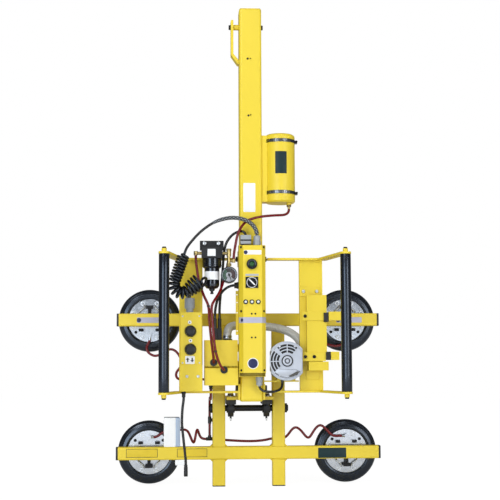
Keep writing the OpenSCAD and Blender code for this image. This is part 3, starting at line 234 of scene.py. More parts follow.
# Printed vinyl: a slightly glossy film, left blank
white_vinyl = finish("white_vinyl_film", "#f2f3f4", "#e6e8ea", 0.42, 5.0, 0.01, 40)
mast_holes = [turned((x, mast_front, z), OUT, [(4.2, 0), (4.2, 0.4), (3.6, 0.8), (0.5, 0.9)], 24)
              for x, z in ((-10.9, -139.8), (-8.6, -368.2))]
piece("mast_label", [slab((-6.5, mast_front, -694), *FRONT, 47, 114, 0.4, 3, 0.2)], white_vinyl)


# Through-bolts, washers and pillow-block bearings: blackened steel bolts through mast and handles,
# zinc plated bolts on the bearings, cast iron housings painted black with a grease nipple below.
black_bolt = finish("blackened_steel", "#1d1d21", "#141417", 0.4, 1.5, 0.02, 30, 0.6, {"Metallic": 0.5})
cast_black = finish("painted_cast_iron", "#131316", "#1a1a1e", 0.45, 2.2, 0.16, 60, 1.5, {"IOR": 1.5})
zinc = finish("zinc_plated_steel", "#e2e4e7", "#cfd3d8", 0.36, 1.2, 0.01, 22, 0.5, {"Metallic": 0.9})
coat(black_bolt, "frame_bolts", "tilt_shaft")
piece("mast_plugs", mast_holes, black_bolt)
coat(cast_black, "bearing_blocks")
bearing_x, bearing_bolt_ys, tilt_plate_top = 72, (22.9, 127.9), -1469.5
washer = [(13, 0), (13, 1.6), (12.4, 2.0), (10.2, 2.0)]
cap_nut = [(9, 8), (9.2, 8.2), (8.4, 11.5), (5.5, 14), (1, 15)]
bearing_bolts = [turned((side * bearing_x, y, tilt_plate_top), (0, 0, 1), shape)
                 for side in (-1, 1) for y in bearing_bolt_ys for shape in (washer, cap_nut)]
piece("bearing_washers", bearing_bolts, zinc)
nipple = [(4.2, 0), (4.2, 2), (2.4, 3), (2.4, 6), (3.2, 7), (3.2, 9), (1, 10)]
nipples = [turned((side * bearing_x, 75.4, -1558.5), (0, 0, -1), nipple, 20) for side in (-1, 1)]
piece("grease_nipples", nipples, zinc)


# Tilting frame: square steel tube, saw cut and welded into two bars and two spines, powder coated,
# with moulded plastic plugs in the open ends and a turned steel shaft through both spines.
black_plastic = finish("moulded_black_plastic", "#121214", "#19191c", 0.4, 1.0, 0.04, 50, 0.8, {"IOR": 1.48})
bright_steel = finish("turned_steel", "#b9bcc0", "#a4a8ae", 0.26, 0.8, 0.01, 25, 0.4, {"Metallic": 1.0})
coat(yellow_coat, "cross_bars", "spines")
coat(black_plastic, "end_plugs", "hose_tees")
bar_front, upper_z, lower_z = 50, -1163, -1695
tube_half, spine_x, tube_y = 25.4, 120, 75.4


def curve_through(points, steps):
    """Smooth curve through points: between b and c, half of 2b + (c - a)t + (2a - 5b + 4c - d)t^2
    + (3b - a - 3c + d)t^3, with a and d their neighbours."""
    p = np.asarray(points, float)
    p = np.concatenate([p[:1], p, p[-1:]])[:, None]
    t = np.linspace(0, 1, steps, endpoint=False)[:, None]
    a, b, c, d = p[:-3], p[1:-2], p[2:-1], p[3:]
    curve = 0.5 * (2 * b + (c - a) * t + (2 * a - 5 * b + 4 * c - d) * t**2 + (3 * b - a - 3 * c + d) * t**3)
    return np.concatenate([curve.reshape(-1, 3), p[-1]])


def even(path, step):
    """The same path with stations about step apart, by interpolation over its length."""
    gone = np.r_[0, np.cumsum(np.linalg.norm(np.diff(path, axis=0), axis=1))]
    s = np.linspace(0, gone[-1], max(int(gone[-1] / step), 2) + 1)
    return np.stack([np.interp(s, gone, path[:, k]) for k in range(3)], -1)


def tube(path, radius, sides=16):
    """Rings round a path, all in metres: station + r (cos a N + sin a B), where N is carried from
    station to station without twist. The radius may be one number or one for each ring point."""
    t = unit(np.gradient(path, axis=0))
    n = [square_pair(t[0])[0]]
    for heading in t[1:]:
        n.append(unit(n[-1] - (n[-1] @ heading) * heading))
    n = np.array(n)
    b = np.cross(t, n)
    a = 2 * np.pi * np.arange(sides) / sides
    r = np.broadcast_to(radius, (len(path), sides))[..., None]
    return path[:, None] + r * (np.cos(a)[:, None] * n[:, None] + np.sin(a)[:, None] * b[:, None])


def weld(a, b, width=5.0, ripple=3.5):
    """Rings of a weld bead from a to b in mm, its radius rising and falling once every ripple."""
    bead_step = 0.7
    path = even(MM * np.array([a, b], float), bead_step * MM)
    s = np.arange(len(path)) * bead_step
    radius = MM * width / 2 * (0.9 + 0.12 * np.cos(2 * np.pi * s / ripple))
    return tube(path, radius[:, None], 10)


weld_half, weld_inset = 19, 0.6
welds = []
for x in (-spine_x, spine_x):
    for z in (upper_z - tube_half, lower_z + tube_half, lower_z - tube_half):
        for y in (tube_y - tube_half + weld_inset, tube_y + tube_half - weld_inset):
            welds.append(weld((x - weld_half, y, z), (x + weld_half, y, z)))
fit(skin("frame_welds", *welds), "pad_frame", yellow_coat)


# Plates and film on the bars: thin blank strips stuck to the front faces, a dark green plate on the
# right, and a white plastic sign card that stands on the lower bar.
green_plate = finish("green_enamelled_plate", "#0b2f33", "#08272a", 0.45, 4.0, 0.01, 30, 0.0, {"IOR": 1.38})
blue_vinyl = finish("blue_vinyl_film", "#141f56", "#101a4a", 0.4, 5.0, 0.01, 30)
yellow_vinyl = finish("yellow_vinyl_film", "#e2c61e", "#d6ba1c", 0.45, 5.0, 0.01, 30)
film, strip_xs, strip_z, load_z = 0.4, (-397, 408), -1164.5, -1693


def disc(r, t):
    """Profile of a round film of radius r with an eased rim."""
    return [(r, 0), (r, t), (r - 0.2, t + 0.1)]


strips = [slab((x, bar_front, strip_z), *FRONT, 105, 22, film, 4, 0.2) for x in strip_xs]
silver_vinyl = finish("silver_vinyl_film", "#b6b6c8", "#aaaabd", 0.38, 5.0, 0.01, 40)
fit(skin("bar_strips", *strips), "pad_frame", silver_vinyl)
dots = [turned((x - 44, bar_front - film, strip_z), OUT, disc(9, 0.2)) for x in strip_xs]
fit(skin("bar_strip_dots", *dots), "pad_frame", blue_vinyl)
load_places = [(-426.5, 123), (-227, 118)]
load_films = [slab((x, bar_front, load_z), *FRONT, w, 34, film, 2, 0.2) for x, w in load_places]
fit(skin("bar_films", *load_films), "pad_frame", yellow_vinyl)
black_vinyl = finish("black_vinyl_film", "#151517", "#1b1b1e", 0.42, 5.0, 0.01, 30)
borders = []
line, ink = 1.6, (0.2, 0.5, 0.1)
for x, w in load_places:
    borders += [slab((x, bar_front - film, load_z + side * 16), *FRONT, w, line, *ink) for side in (-1, 1)]
    borders += [slab((x + side * w / 2, bar_front - film, load_z), *FRONT, line, 33, *ink) for side in (-1, 1)]
fit(skin("bar_film_borders", *borders), "pad_frame", black_vinyl)
fit(skin("bar_plate", slab((334, bar_front, -1697), *FRONT, 113, 40, 0.8, 2, 0.3)), "pad_frame", green_plate)
white_card = finish("white_plastic_card", "#f8f9fa", "#f0f2f4", 0.35, 6.0, 0.01, 60, 0.0, {"IOR": 1.46})
# Pale blue-grey for the card's angled right side is painted shade, the side turned from the light.
card_side_shade = finish("card_side_painted_shade", "#b4c6de", "#a3b6d0", 0.35, 6.0, 0.01, 60, 0.0, {"IOR": 1.46})
card_z = -1611
fit(skin("sign_card", slab((-316, 62, card_z), *FRONT, 48, 117, 9, 4, 2.0)), "pad_frame", white_card)
fold = slab((-285, 60, card_z), (0.92, 0.4, 0), (0, 0, 1), 18, 115, 6, 2, 1.0)
fit(skin("sign_card_fold", fold), "pad_frame", card_side_shade)
# A thin black strip along the card's top is painted shade on its rounded top edge.
fit(skin("sign_card_top_shade", slab((-309, 62, -1552), *FRONT, 60, 2.4, 10, 1, 0.5)), "pad_frame", black_plastic)


# Suction pads: a moulded neoprene cup with a rounded back, shallow rings and a flat sealing lip,
# clamped to a zinc plated plate that floats on a post behind the bar.
pads = {"ul": (-400, upper_z, -1), "ur": (400, upper_z, -1), "ll": (-400, lower_z, 1), "lr": (400, lower_z, 1)}
plate_y, plate_t, pad_r, plate_r, lip_y = 129.8, 8.0, 127.0, 87.0, 159.8
cool_gloss = {"IOR": 1.62, "Specular Tint": (0.7, 0.82, 1.0, 1.0)}
pad_rubber = finish("neoprene_pad", "#0b0c11", "#101116", 0.24, 1.2, 0.03, 45, 0.0, cool_gloss)
coat(black_bolt, "pad_mounts")


def zinc_sheet():
    """Zinc plated sheet: bright and faintly blue, with crystal patches 9 mm wide and rolling marks."""
    mat = finish("zinc_plated_sheet", "#d2d5d9", "#b9bec6", 0.32, 1.2, 0.01, 14, 0.5, {"Metallic": 1.0})
    where = add(mat, "TexCoord", {}).outputs["Object"]
    cells = add(mat, "TexVoronoi", {"Vector": where, "Scale": 1 / (9 * MM)}).outputs["Color"]
    grey = add(mat, "RGBToBW", {"Color": cells}).outputs["Val"]
    worn = add(mat, "MapRange", {"Value": grey, "To Min": 0.14, "To Max": 0.24}).outputs["Result"]
    mat.node_tree.links.new(worn, mat.node_tree.nodes["Principled BSDF"].inputs["Roughness"])
    return mat


def turned_loop(place, axis, profile, sides):
    """Stations round an axis of a closed profile (r, h) in mm, for a ring with a hole through it."""
    return turned(place, axis, profile, sides).transpose(1, 0, 2)


pad_sheet = zinc_sheet()
back = plate_y + plate_t
crown = curve_through([(plate_r + 3, plate_y - 1, 0), (plate_r + 12, plate_y - 2, 0), (pad_r - 16, plate_y + 1, 0),
                       (pad_r - 7, plate_y + 6, 0), (pad_r - 2, plate_y + 13, 0), (pad_r, plate_y + 20, 0)], 8)[:, :2]
ring_rise, ring_waves = 0.5, 5
ripples = ring_rise * np.sin(np.linspace(0, 2 * ring_waves * np.pi, len(crown)))
crown[:, 1] += np.clip(ripples, -ring_rise, 0.0)
cup = np.concatenate([[(plate_r - 15, back), (plate_r + 0.4, back), (plate_r + 0.4, plate_y + 1)], crown,
                      [(pad_r, lip_y - 2), (pad_r - 1, lip_y), (pad_r - 8, lip_y), (pad_r - 18, lip_y - 8),
                       (plate_r + 8, back + 9), (plate_r - 15, back + 8)]])
screw_angles, screw_r = np.radians(22.5 + 45 * np.arange(8)), 75
pad_screw = [(9, 0), (9, 1.4), (8.6, 1.8), (5.6, 1.8)]
clip_bends = [(20, 0, 60), (20, 10, 60), (24, 16, 50), (36, 17, 40), (42, 12, 33), (42, 0, 31)]
catch_pin = [(6, 0), (6, 5), (4.5, 6.5), (2.5, 6.5), (2.4, 4)]
for key, (x, z, inner) in pads.items():
    body = "pad_" + key
    ring = skin("pad_rubber_" + key, turned_loop((x, 0, z), (0, 1, 0), cup, 96), loop=True)
    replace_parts(fit(ring, body, pad_rubber), "pad_ring_" + key)
    coat(pad_sheet, "pad_plate_" + key)
    screws = [turned((x + screw_r * np.cos(a), plate_y, z + screw_r * np.sin(a)), OUT, pad_screw)
              for a in screw_angles]
    clips, tabs, pins = [], [], []
    for side in (-1, 1):
        wire = [(x + side * over, plate_y - out, z - inner * along) for over, out, along in clip_bends]
        clips.append(tube(MM * curve_through(wire, 8), 3.2 * MM, 12))
        tabs.append(slab((x + side * 34, plate_y - 14, z + inner * 39), *FRONT, 20, 12, 3, 2, 1))
        pins.append(turned((x + side * 56, plate_y, z + inner * 48), OUT, catch_pin, 20))
    fit(skin("pad_hardware_" + key, *screws, *clips), body, zinc)
    fit(skin("pad_catches_" + key, *tabs, *pins), body, black_bolt)


# Control box: folded sheet steel box on the mast with a chamfered cover, screwed at its corners.
# Lamps and a rotary switch stand on the cover, cable glands and a square connector on its top.
gloss_black = finish("glossy_black_plastic", "#0b0b0e", "#0f0f12", 0.18, 2.0, 0.01, 60, 0.5,
                     {"IOR": 1.68, "Specular Tint": (0.8, 0.88, 1.0, 1.0)})
grey_nylon = finish("grey_nylon", "#a3a8ad", "#949aa1", 0.42, 1.2, 0.03, 30, 0.8, {"IOR": 1.53})
coat(yellow_coat, "control_box", "control_cover")
coat(gloss_black, "panel_fittings", "switch_knob")
coat(grey_nylon, "cable_glands")
cover_front, panel_x = -235, -3
lamp_z, switch_z, small_lamp_z, small_lamp_pitch = -963, -1033, -1107, 24


def pan_head(place, axis, r):
    """Rings of a pan head screw of radius r with a round socket in its middle."""
    head = [(1, 0), (1, 0.35), (0.82, 0.6), (0.45, 0.66), (0.42, 0.3)]
    return turned(place, axis, r * np.array(head), 20)


cover_screws = [pan_head((side * 43, -225.8, z), (side * 0.8, -0.6, 0), 4.5)
                for side in (-1, 1) for z in (-897, -1142, -1366)]
cover_screws += [pan_head((x, cover_front, z), OUT, 3.4) for x in (-4, 10) for z in (-1152, -1242)]
piece("cover_screws", cover_screws, black_bolt)


def upright(inner, outer, low, high):
    """Rings of a wall between two flat paths (x, y) in mm, four corners each, standing from low to high."""
    edges = ((inner, low), (outer, low), (outer, high), (inner, high))
    return MM * np.stack([np.column_stack([path, np.full(len(path), z)]) for path, z in edges], 1)


def folded_strip(path, low, high, t):
    """Rings of a strip t thick along a flat path (x, y) in mm, standing from low to high."""
    p = np.asarray(path, float)
    heading = unit(np.gradient(p, axis=0))
    return upright(p, p + t * np.stack([heading[:, 1], -heading[:, 0]], -1), low, high)


cover_line = [
    (-51, -207), (-51, -215), (-50, -216.4), (-37, -233.7), (-36, -235), (-34, -235), (34, -235), (36, -235),
    (37, -233.7), (50, -216.4), (51, -215), (51, -207)]
piece("cover_band", [folded_strip(cover_line, -1187, -1165, 0.5)], silver_vinyl)
cover_strip_z, round_mark = -917.5, (0, cover_front, -1340)
piece("cover_strip", [slab((1, cover_front, cover_strip_z), *FRONT, 66, 17, film, 2, 0.2)], white_vinyl)
grey_vinyl = finish("grey_vinyl_film", "#b9bcc0", "#adb1b6", 0.4, 5.0, 0.01, 30)
piece("switch_strip", [slab((-2, cover_front, -1004), *FRONT, 50, 8, film, 1, 0.2)], grey_vinyl)
marks = [turned((-26, cover_front - film, cover_strip_z), OUT, disc(7.5, 0.2)),
         turned((-40.6, -228.9, -1176), (-0.8, -0.6, 0), disc(6.5, 0.6)),
         turned(round_mark, OUT, disc(18, 0.3))]
piece("cover_marks", marks, blue_vinyl)
rim = [(21, 0), (21, 0.2), (20.8, 0.3), (18.2, 0.3), (18.2, 0.0)]
piece("cover_mark_rim", [turned(round_mark, OUT, rim, 48)], white_vinyl)
# Lamp lens: clear green acrylic, dark while it is off
green_lens = finish("green_acrylic_lens", "#1d5a22", "#17481c", 0.12, 3.0, 0.02, 20, 0.0, {"IOR": 1.49})
lens = [(9.5, 0), (9.5, 1), (8.6, 2.6), (6, 4.2), (3, 5), (0.4, 5.2)]
piece("lamp_lens", [turned((panel_x, cover_front - 9.8, lamp_z), OUT, lens)], green_lens)
bezel = [(20.4, 4), (20.4, 10), (19.2, 11.6), (17.4, 11.8), (12, 10.4), (11.4, 9.6)]
piece("lamp_bezel", [turned((panel_x, cover_front, lamp_z), OUT, bezel)], gloss_black)
clear_lens = finish("white_acrylic_lens", "#e4e6e4", "#d8dbd9", 0.15, 3.0, 0.02, 20, 0.0, {"IOR": 1.49})
small_lens = [(5.2, 0), (5.2, 0.8), (4.2, 2.4), (2, 3.2), (0.3, 3.4)]
small_lenses = [turned((panel_x + k * small_lamp_pitch, cover_front - 8, small_lamp_z), OUT, small_lens, 20)
                for k in (-1, 0, 1)]
piece("small_lamp_lenses", small_lenses, clear_lens)
dial_ring = [(20.5, 0), (20.5, 0.4), (20.2, 0.5), (18.2, 0.5), (18.0, 0.4), (18.0, 0)]
piece("switch_ring", [turned((panel_x, cover_front - 4, switch_z), OUT, dial_ring, 48)], white_vinyl)
knob_front = -247.2
pointer = slab((panel_x, knob_front - 6, switch_z), (1, 0, -1), (1, 0, 1), 30, 5, 0.5, 1, 0.2)
fit(skin("switch_pointer", pointer), "switch", white_vinyl)
gland_dome = [(10, -2), (10.4, -1), (8.6, 2.2), (6.2, 4.6), (5.2, 5)]
dome_nuts = [turned((20, -190, -850), (0, 0, 1), gland_dome), turned((28, -172, -1423), (0, 0, -1), gland_dome)]
piece("gland_domes", dome_nuts, zinc)
clamp = [slab((-24, -209, -868), *FRONT, 44, 5, 2, 1, 0.5), slab((-24, -209, -884), *FRONT, 44, 4, 2, 1, 0.5)]
piece("connector_clamp", clamp, black_plastic)


# Reserve tank: drawn steel tank with a rolled end, powder coated, held in its cradle by two
# stainless band clamps with worm screws. A dark green plate is riveted to its front.
coat(yellow_coat, "reserve_tank", "tank_cradle")
band_steel = finish("stainless_band", "#7b7f85", "#5f6369", 0.3, 0.8, 0.01, 25, 0.4, {"Metallic": 1.0})
coat(band_steel, "tank_straps")
tank_x, tank_y, tank_r = 117.5, -106, 59.5


def wrapped(place, r, span, low, high, t):
    """Rings of a plate bent round an upright cylinder: stations over the span of angles, four corners each."""
    a = np.radians(np.linspace(*span, 25))
    spokes = np.stack([np.cos(a), np.sin(a)], -1)
    return upright(np.asarray(place) + r * spokes, np.asarray(place) + (r + t) * spokes, low, high)


piece("tank_plate", [wrapped((tank_x, tank_y), tank_r, (-112, -68), -600, -512, 0.7)], green_plate)
strap_zs, band_r = (-467, -672), tank_r + 1.5
slots = [wrapped((tank_x, tank_y), band_r, (a - 1.3, a + 1.3), z - 4.4, z + 4.4, 0.25)
         for z in strap_zs for a in np.arange(-134, -46, 8)]
piece("strap_slots", slots, bright_steel)
worm = [(4.8, 0), (4.8, 3), (4.2, 4), (1.6, 4), (1.5, 2.4)]
worms = [turned((tank_x + band_r + 3.5, tank_y - 20, z), OUT, worm, 24) for z in strap_zs]
piece("strap_screws", worms, black_bolt)


# Handles: bent flat bar and rods with channel plates, powder coated, and a pair of black foam
# vinyl sleeves pushed over the rods, closed by nuts above and below.
coat(yellow_coat, "handle_bars", "side_plates")
grip_vinyl = finish("black_foam_vinyl", "#0c0e14", "#090b10", 0.25, 1.6, 0.03, 40, 0.0, cool_gloss)
handle_x, handle_y, grip_low, grip_high = 334, -400, -1445, -939
sleeve = [
    (12.6, grip_low), (17, grip_low), (18.8, grip_low + 0.8), (19.5, grip_low + 2.8), (19.5, grip_low + 60),
    (19.4, (grip_low + grip_high) / 2), (19.5, grip_high - 60), (19.5, grip_high - 2.8), (18.8, grip_high - 0.8),
    (17, grip_high), (12.6, grip_high)]
sleeves = [turned_loop((side * handle_x, handle_y, 0), (0, 0, 1), sleeve, 48) for side in (-1, 1)]
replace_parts(fit(skin("grip_sleeves", *sleeves, loop=True), "mast", grip_vinyl), "grips")
rod_nut = [(7.6, -0.5), (7.6, 4.4), (6.4, 5.8), (2, 5.8)]
rod_nuts = [turned((side * handle_x, handle_y, z), (0, 0, way), rod_nut, 6)
            for side in (-1, 1) for z, way in ((-919, 1), (-1465, -1))]
piece("rod_nuts", rod_nuts, black_bolt)


# Pendant: a painted steel push-button box in its bracket, with two domed black buttons, blank round
# labels above them and a square one below with two plain arrows.
coat(yellow_coat, "pendant_bracket", "pendant_case")
pendant_front, button_x, button_zs = -212, -236, (-1217, -1286)
tag_places, square_tag_z = ((-239, -1183), (-236, -1253)), -1326
satin_black = finish("satin_black_paint", "#111114", "#17171a", 0.36, 1.4, 0.05, 50, 1.0, {"IOR": 1.5})
dome = [(16, 18), (16, -6), (19.4, -6.2), (20, -7), (20, -9), (19, -11.4), (15, -13.6), (9, -14.7), (0.5, -15)]
for name, body, z in zip(("upper", "lower"), ("button_up", "button_down"), button_zs):
    cap = skin(name + "_button_cap", turned((button_x, pendant_front, z), (0, 1, 0), dome, 40))
    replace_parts(fit(cap, body, satin_black), name + "_button")
collar = [(20.5, 0), (20.5, 1.6), (21.2, 2.2), (22, 1.8), (22.4, 0.8), (22.4, 0)]
collars = [turned_loop((button_x, pendant_front, z), OUT, collar, 40) for z in button_zs]
piece("button_collars", collars, black_plastic, loop=True)
tags = [turned((x, pendant_front, z), OUT, disc(7, 0.3)) for x, z in tag_places]
tags.append(slab((-238, pendant_front, square_tag_z), *FRONT, 36, 31, film, 5, 0.2))
piece("pendant_labels", tags, white_vinyl)
dots = [turned((x, pendant_front - film, z), OUT, disc(2.4, 0.1), 16) for x, z in tag_places]
piece("pendant_label_dots", dots, black_vinyl)


def arrow(x, z, up):
    """Rings of a flat arrow head and stem, seven points round, on the pendant's square label."""
    shape = np.array([(0, 9), (7, 1), (2.5, 1), (2.5, -8), (-2.5, -8), (-2.5, 1), (-7, 1)]) * (1, up)
    flat = np.column_stack([x + shape[:, 0], np.full(7, pendant_front - film), z + shape[:, 1]])
    return MM * np.stack([flat, flat + 0.2 * OUT])


piece("pendant_arrows", [arrow(-246.5, square_tag_z, 1), arrow(-229.5, square_tag_z, -1)], black_vinyl)
case_screws = [pan_head((x, pendant_front, z), OUT, 3.6) for x in (-266, -202) for z in (-1160, -1337)]
case_screws += [pan_head((x, -216, -1388), OUT, 6) for x in (-249, -207)]
piece("pendant_screws", case_screws, zinc)
plug_rib = [(19, 0), (20, 1), (20, 3.4), (19, 4.4)]
plug_ribs = [turned((-239, -188, z), (0, 0, 1), plug_rib, 32) for z in (-1126, -1118, -1110, -1102)]
piece("plug_ribs", plug_ribs, grey_nylon)


# Storage bracket: folded straps and a channel on the right side plate, with two rubber buffers
# that keep the frame from rattling against it.
coat(yellow_coat, "storage_bracket")
buffer_rubber = finish("black_buffer_rubber", "#101013", "#161619", 0.45, 1.4, 0.05, 30, 0.0, {"IOR": 1.52})
buffers = [slab((x, -171, z), *FRONT, 19, h, 12, 3, 2.5) for x, z, h in ((287.5, -1164, 36), (294.5, -1312, 32))]
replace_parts(fit(skin("storage_buffers", *buffers), "mast", buffer_rubber), "storage_pads")
hex_head = [(7, 0), (7, 4), (6, 5), (2, 5)]
strap_bolts = [turned((x, -175, z), OUT, hex_head, 6) for x, z in ((206, -1159), (206, -1315), (240, -1315))]
piece("strap_bolts", strap_bolts, black_bolt)
side_bolts = [turned((x, -137, -1061), OUT, hex_head, 6) for x in (204, 256)]
piece("side_plate_bolts", side_bolts, zinc)


# Filter, gauge and brass: a die-cast head painted black, a glossy bowl with a collar, turned brass
# fittings, and a pressed gauge case with a printed dial behind glass.
machined_brass = finish("machined_brass", "#c7b27c", "#ab9358", 0.3, 0.8, 0.01, 20, 0.4, {"Metallic": 1.0})
coat(satin_black, "filter_bracket", "filter_head")
coat(gloss_black, "filter_bowl", "gauge_case", "gauge_needle")
coat(machined_brass, "brass_fittings")
filter_x, filter_y = -154, -195
piece("filter_label", [slab((filter_x - 2, -221, -917), *FRONT, 31, 27, film, 2, 0.2)], white_vinyl)
bowl_band = [(28.5, -1021), (28.9, -1021), (28.9, -989), (28.5, -989)]
piece("bowl_band", [turned_loop((filter_x, filter_y, 0), (0, 0, 1), bowl_band, 64)], white_vinyl, loop=True)
collar_rib = [(36.2, 0), (37.2, 1), (37.2, 2.4), (36.2, 3.4)]
ribs = [turned_loop((filter_x, filter_y, z), (0, 0, 1), collar_rib, 64) for z in (-966, -957, -948)]
piece("collar_ribs", ribs, gloss_black, loop=True)
piece("filter_screws", [pan_head((x, -173, -877), OUT, 8) for x in (-182, -128)], zinc)
drain = [(9, 0), (9, 3), (5, 4), (5, 9), (6.5, 10), (6.5, 14), (5.5, 15)]
piece("bowl_drain", [turned((filter_x, filter_y, -1060), (0, 0, -1), drain, 24)], satin_black)
gauge_x, gauge_z, dial_y, dial_r, rim_y = -89, -1003, -222, 25.4, -232
dial_white = finish("white_dial_enamel", "#c2c5cc", "#b8bbc3", 0.4, 4.0, 0.01, 20)
dial_green = finish("green_dial_ink", "#165a3c", "#124d33", 0.45, 4.0, 0.01, 20)
dial_red = finish("red_dial_ink", "#3f1420", "#37111b", 0.45, 4.0, 0.01, 20)


def sector(centre, r1, r2, span, t=0.15):
    """Rings of a flat arc between two radii round a centre, angles in degrees from the right hand side."""
    a = np.radians(np.linspace(*span, 20))
    spokes = np.stack([np.cos(a), np.zeros(20), np.sin(a)], -1)
    flat = np.stack([centre + r1 * spokes, centre + r2 * spokes], 1)
    return MM * np.concatenate([flat, flat[:, ::-1] + t * OUT], 1)


dial_plate = [(25.8, 0), (25.8, 0.2), (25.6, 0.3), (2.2, 0.3)]
piece("gauge_dial", [turned((gauge_x, dial_y, gauge_z), OUT, dial_plate, 48)], dial_white)
dial = np.array([gauge_x, dial_y - 0.3, gauge_z])
piece("dial_green", [sector(dial, 12, dial_r, (122, 240))], dial_green)
piece("dial_red", [sector(dial, 10, dial_r, (-44, 62))], dial_red)
marks = [sector(dial, 10, dial_r, (62, 122))]
marks += [sector(dial, 22, dial_r, (a - 1.5, a + 1.5)) for a in range(250, 318, 12)]
piece("dial_marks", marks, black_vinyl)
black_rim = [(25.8, 0), (25.8, 1.6), (27.5, 2.6), (30, 2.2), (31, 0.6), (31, 0)]
rim_place = (gauge_x, rim_y, gauge_z)
piece("gauge_rim", [turned_loop(rim_place, OUT, black_rim, 64)], gloss_black, loop=True)
steel_line = [(25.8, 2.3), (25.8, 2.9), (27, 3.1), (27.2, 2.4)]
piece("gauge_line", [turned_loop(rim_place, OUT, steel_line, 64)], bright_steel, loop=True)
gauge_glass = finish("gauge_glass", "#ffffff", "#fafafa", 0.03, 8.0, 0.0, 40, 0.0,
                     {"IOR": 1.45, "Transmission Weight": 1.0})
glass = [(25.7, 0), (25.7, 0.8), (20, 1.2), (0.5, 1.4)]
piece("gauge_glass", [turned((gauge_x, rim_y + 1, gauge_z), OUT, glass, 48)], gauge_glass)


# Valve box: folded and welded sheet steel on the left of the mast, with rubber grommets for the
# hoses and two moulded plugs on top for the cables.
coat(yellow_coat, "valve_box")
coat(black_plastic, "valve_plugs")


# Motor and pump: a die-cast end bell with slotted vents in front of a black motor, a black fan
# behind the slots and a finned pump head at the back, on a welded bracket.
cast_aluminium = finish("die_cast_aluminium", "#ccd1db", "#b8bec9", 0.4, 1.6, 0.06, 35, 1.0, {"Metallic": 0.3})
coat(cast_aluminium, "fan_cover", "pump_head")
coat(satin_black, "motor_body")
coat(black_plastic, "cooling_fan")
coat(yellow_coat, "motor_bracket")
motor_x, motor_z, motor_front = 133, -1331, -205
face = np.array([motor_x, motor_front, motor_z])
hub_rim = [(17.4, 4), (17.4, 5.4), (16.6, 6.2), (12, 6.2), (11, 5.4), (11, 4)]
hub_boss = [(1, 1), (1, 4.6), (5.4, 4.6), (6.4, 3.6), (6.4, 1)]
hub = [turned_loop(face, OUT, hub_rim, 48), turned_loop(face, OUT, hub_boss, 32)]
piece("motor_hub", hub, cast_aluminium, loop=True)
# Two dark rings on the hub are painted shade standing for its grooves.
groove_shade_rings = [turned_loop(face, OUT, [(r1, 4), (r1, 4.9), (r2, 4.9), (r2, 4)], 48)
         for r1, r2 in ((7.4, 10.4), (18, 22.2))]
piece("motor_hub_groove_shade", groove_shade_rings, buffer_rubber, loop=True)
vents = ((51, 129), (141, 222))
# Flat black arcs on the bell face are painted shade: they darken the vent slots past their cut width.
painted_vent_shade = [sector(face, 29, 66, span, 0.3) for span in vents]
piece("vent_shadows", painted_vent_shade, black_plastic)
bars = [sector(face, r, r + w, span, 2.4) for span in vents for r, w in ((27, 5), (41, 3.4), (52.6, 3.4), (64, 4))]
for degrees, w in ((50, 4), (90, 3.4), (129, 4), (141, 4), (182, 3.4), (222, 4)):
    out = np.array([math.cos(math.radians(degrees)), 0, math.sin(math.radians(degrees))])
    bars.append(slab(face + 47.5 * out, np.cross(out, OUT), out, w, 41, 2.6, 1.2, 0.6))
piece("vent_bars", bars, cast_aluminium)


def plate(points, grow, t):
    """Rings of a flat many-sided plate on the motor face, its outline grown from its middle and its rim eased."""
    flat = np.array([(motor_x + x, motor_front, motor_z + z) for x, z in points])
    middle = flat.mean(0)
    steps = ((grow, 0), (grow, t - 0.6), (grow * 0.97, t))
    return MM * np.stack([middle + g * (flat - middle) + h * OUT for g, h in steps])


cover_edge = ((-34, -31), (32, -34), (46, -40), (31, -56), (0, -63), (-30, -56), (-46, -43))
# A dark plate just larger than the lower cover paints shade in the gap round its rim.
piece("motor_cover_shade_line", [plate(cover_edge, 1.06, 1.2)], buffer_rubber)
piece("motor_lower_cover", [plate(cover_edge, 1.0, 3.4)], cast_aluminium)
# A dark grey patch on the lower right of the cover is a painted shadow.
painted_shadow_edge = ((4, -57), (38, -39), (46, -41), (31, -55), (10, -61))
painted_shadow_metal = finish("aluminium_painted_shadow", "#55534c", "#474640", 0.5, 1.6, 0.06, 30)
piece("motor_cover_painted_shadow", [plate(painted_shadow_edge, 1.0, 4.2)], painted_shadow_metal)
bell_r = 62
bell_screws = [pan_head((motor_x + bell_r * np.cos(a), motor_front + 0.2, motor_z + bell_r * np.sin(a)), OUT, 4)
               for a in np.radians((62, 118, 242, 298))]
piece("bell_screws", bell_screws, zinc)


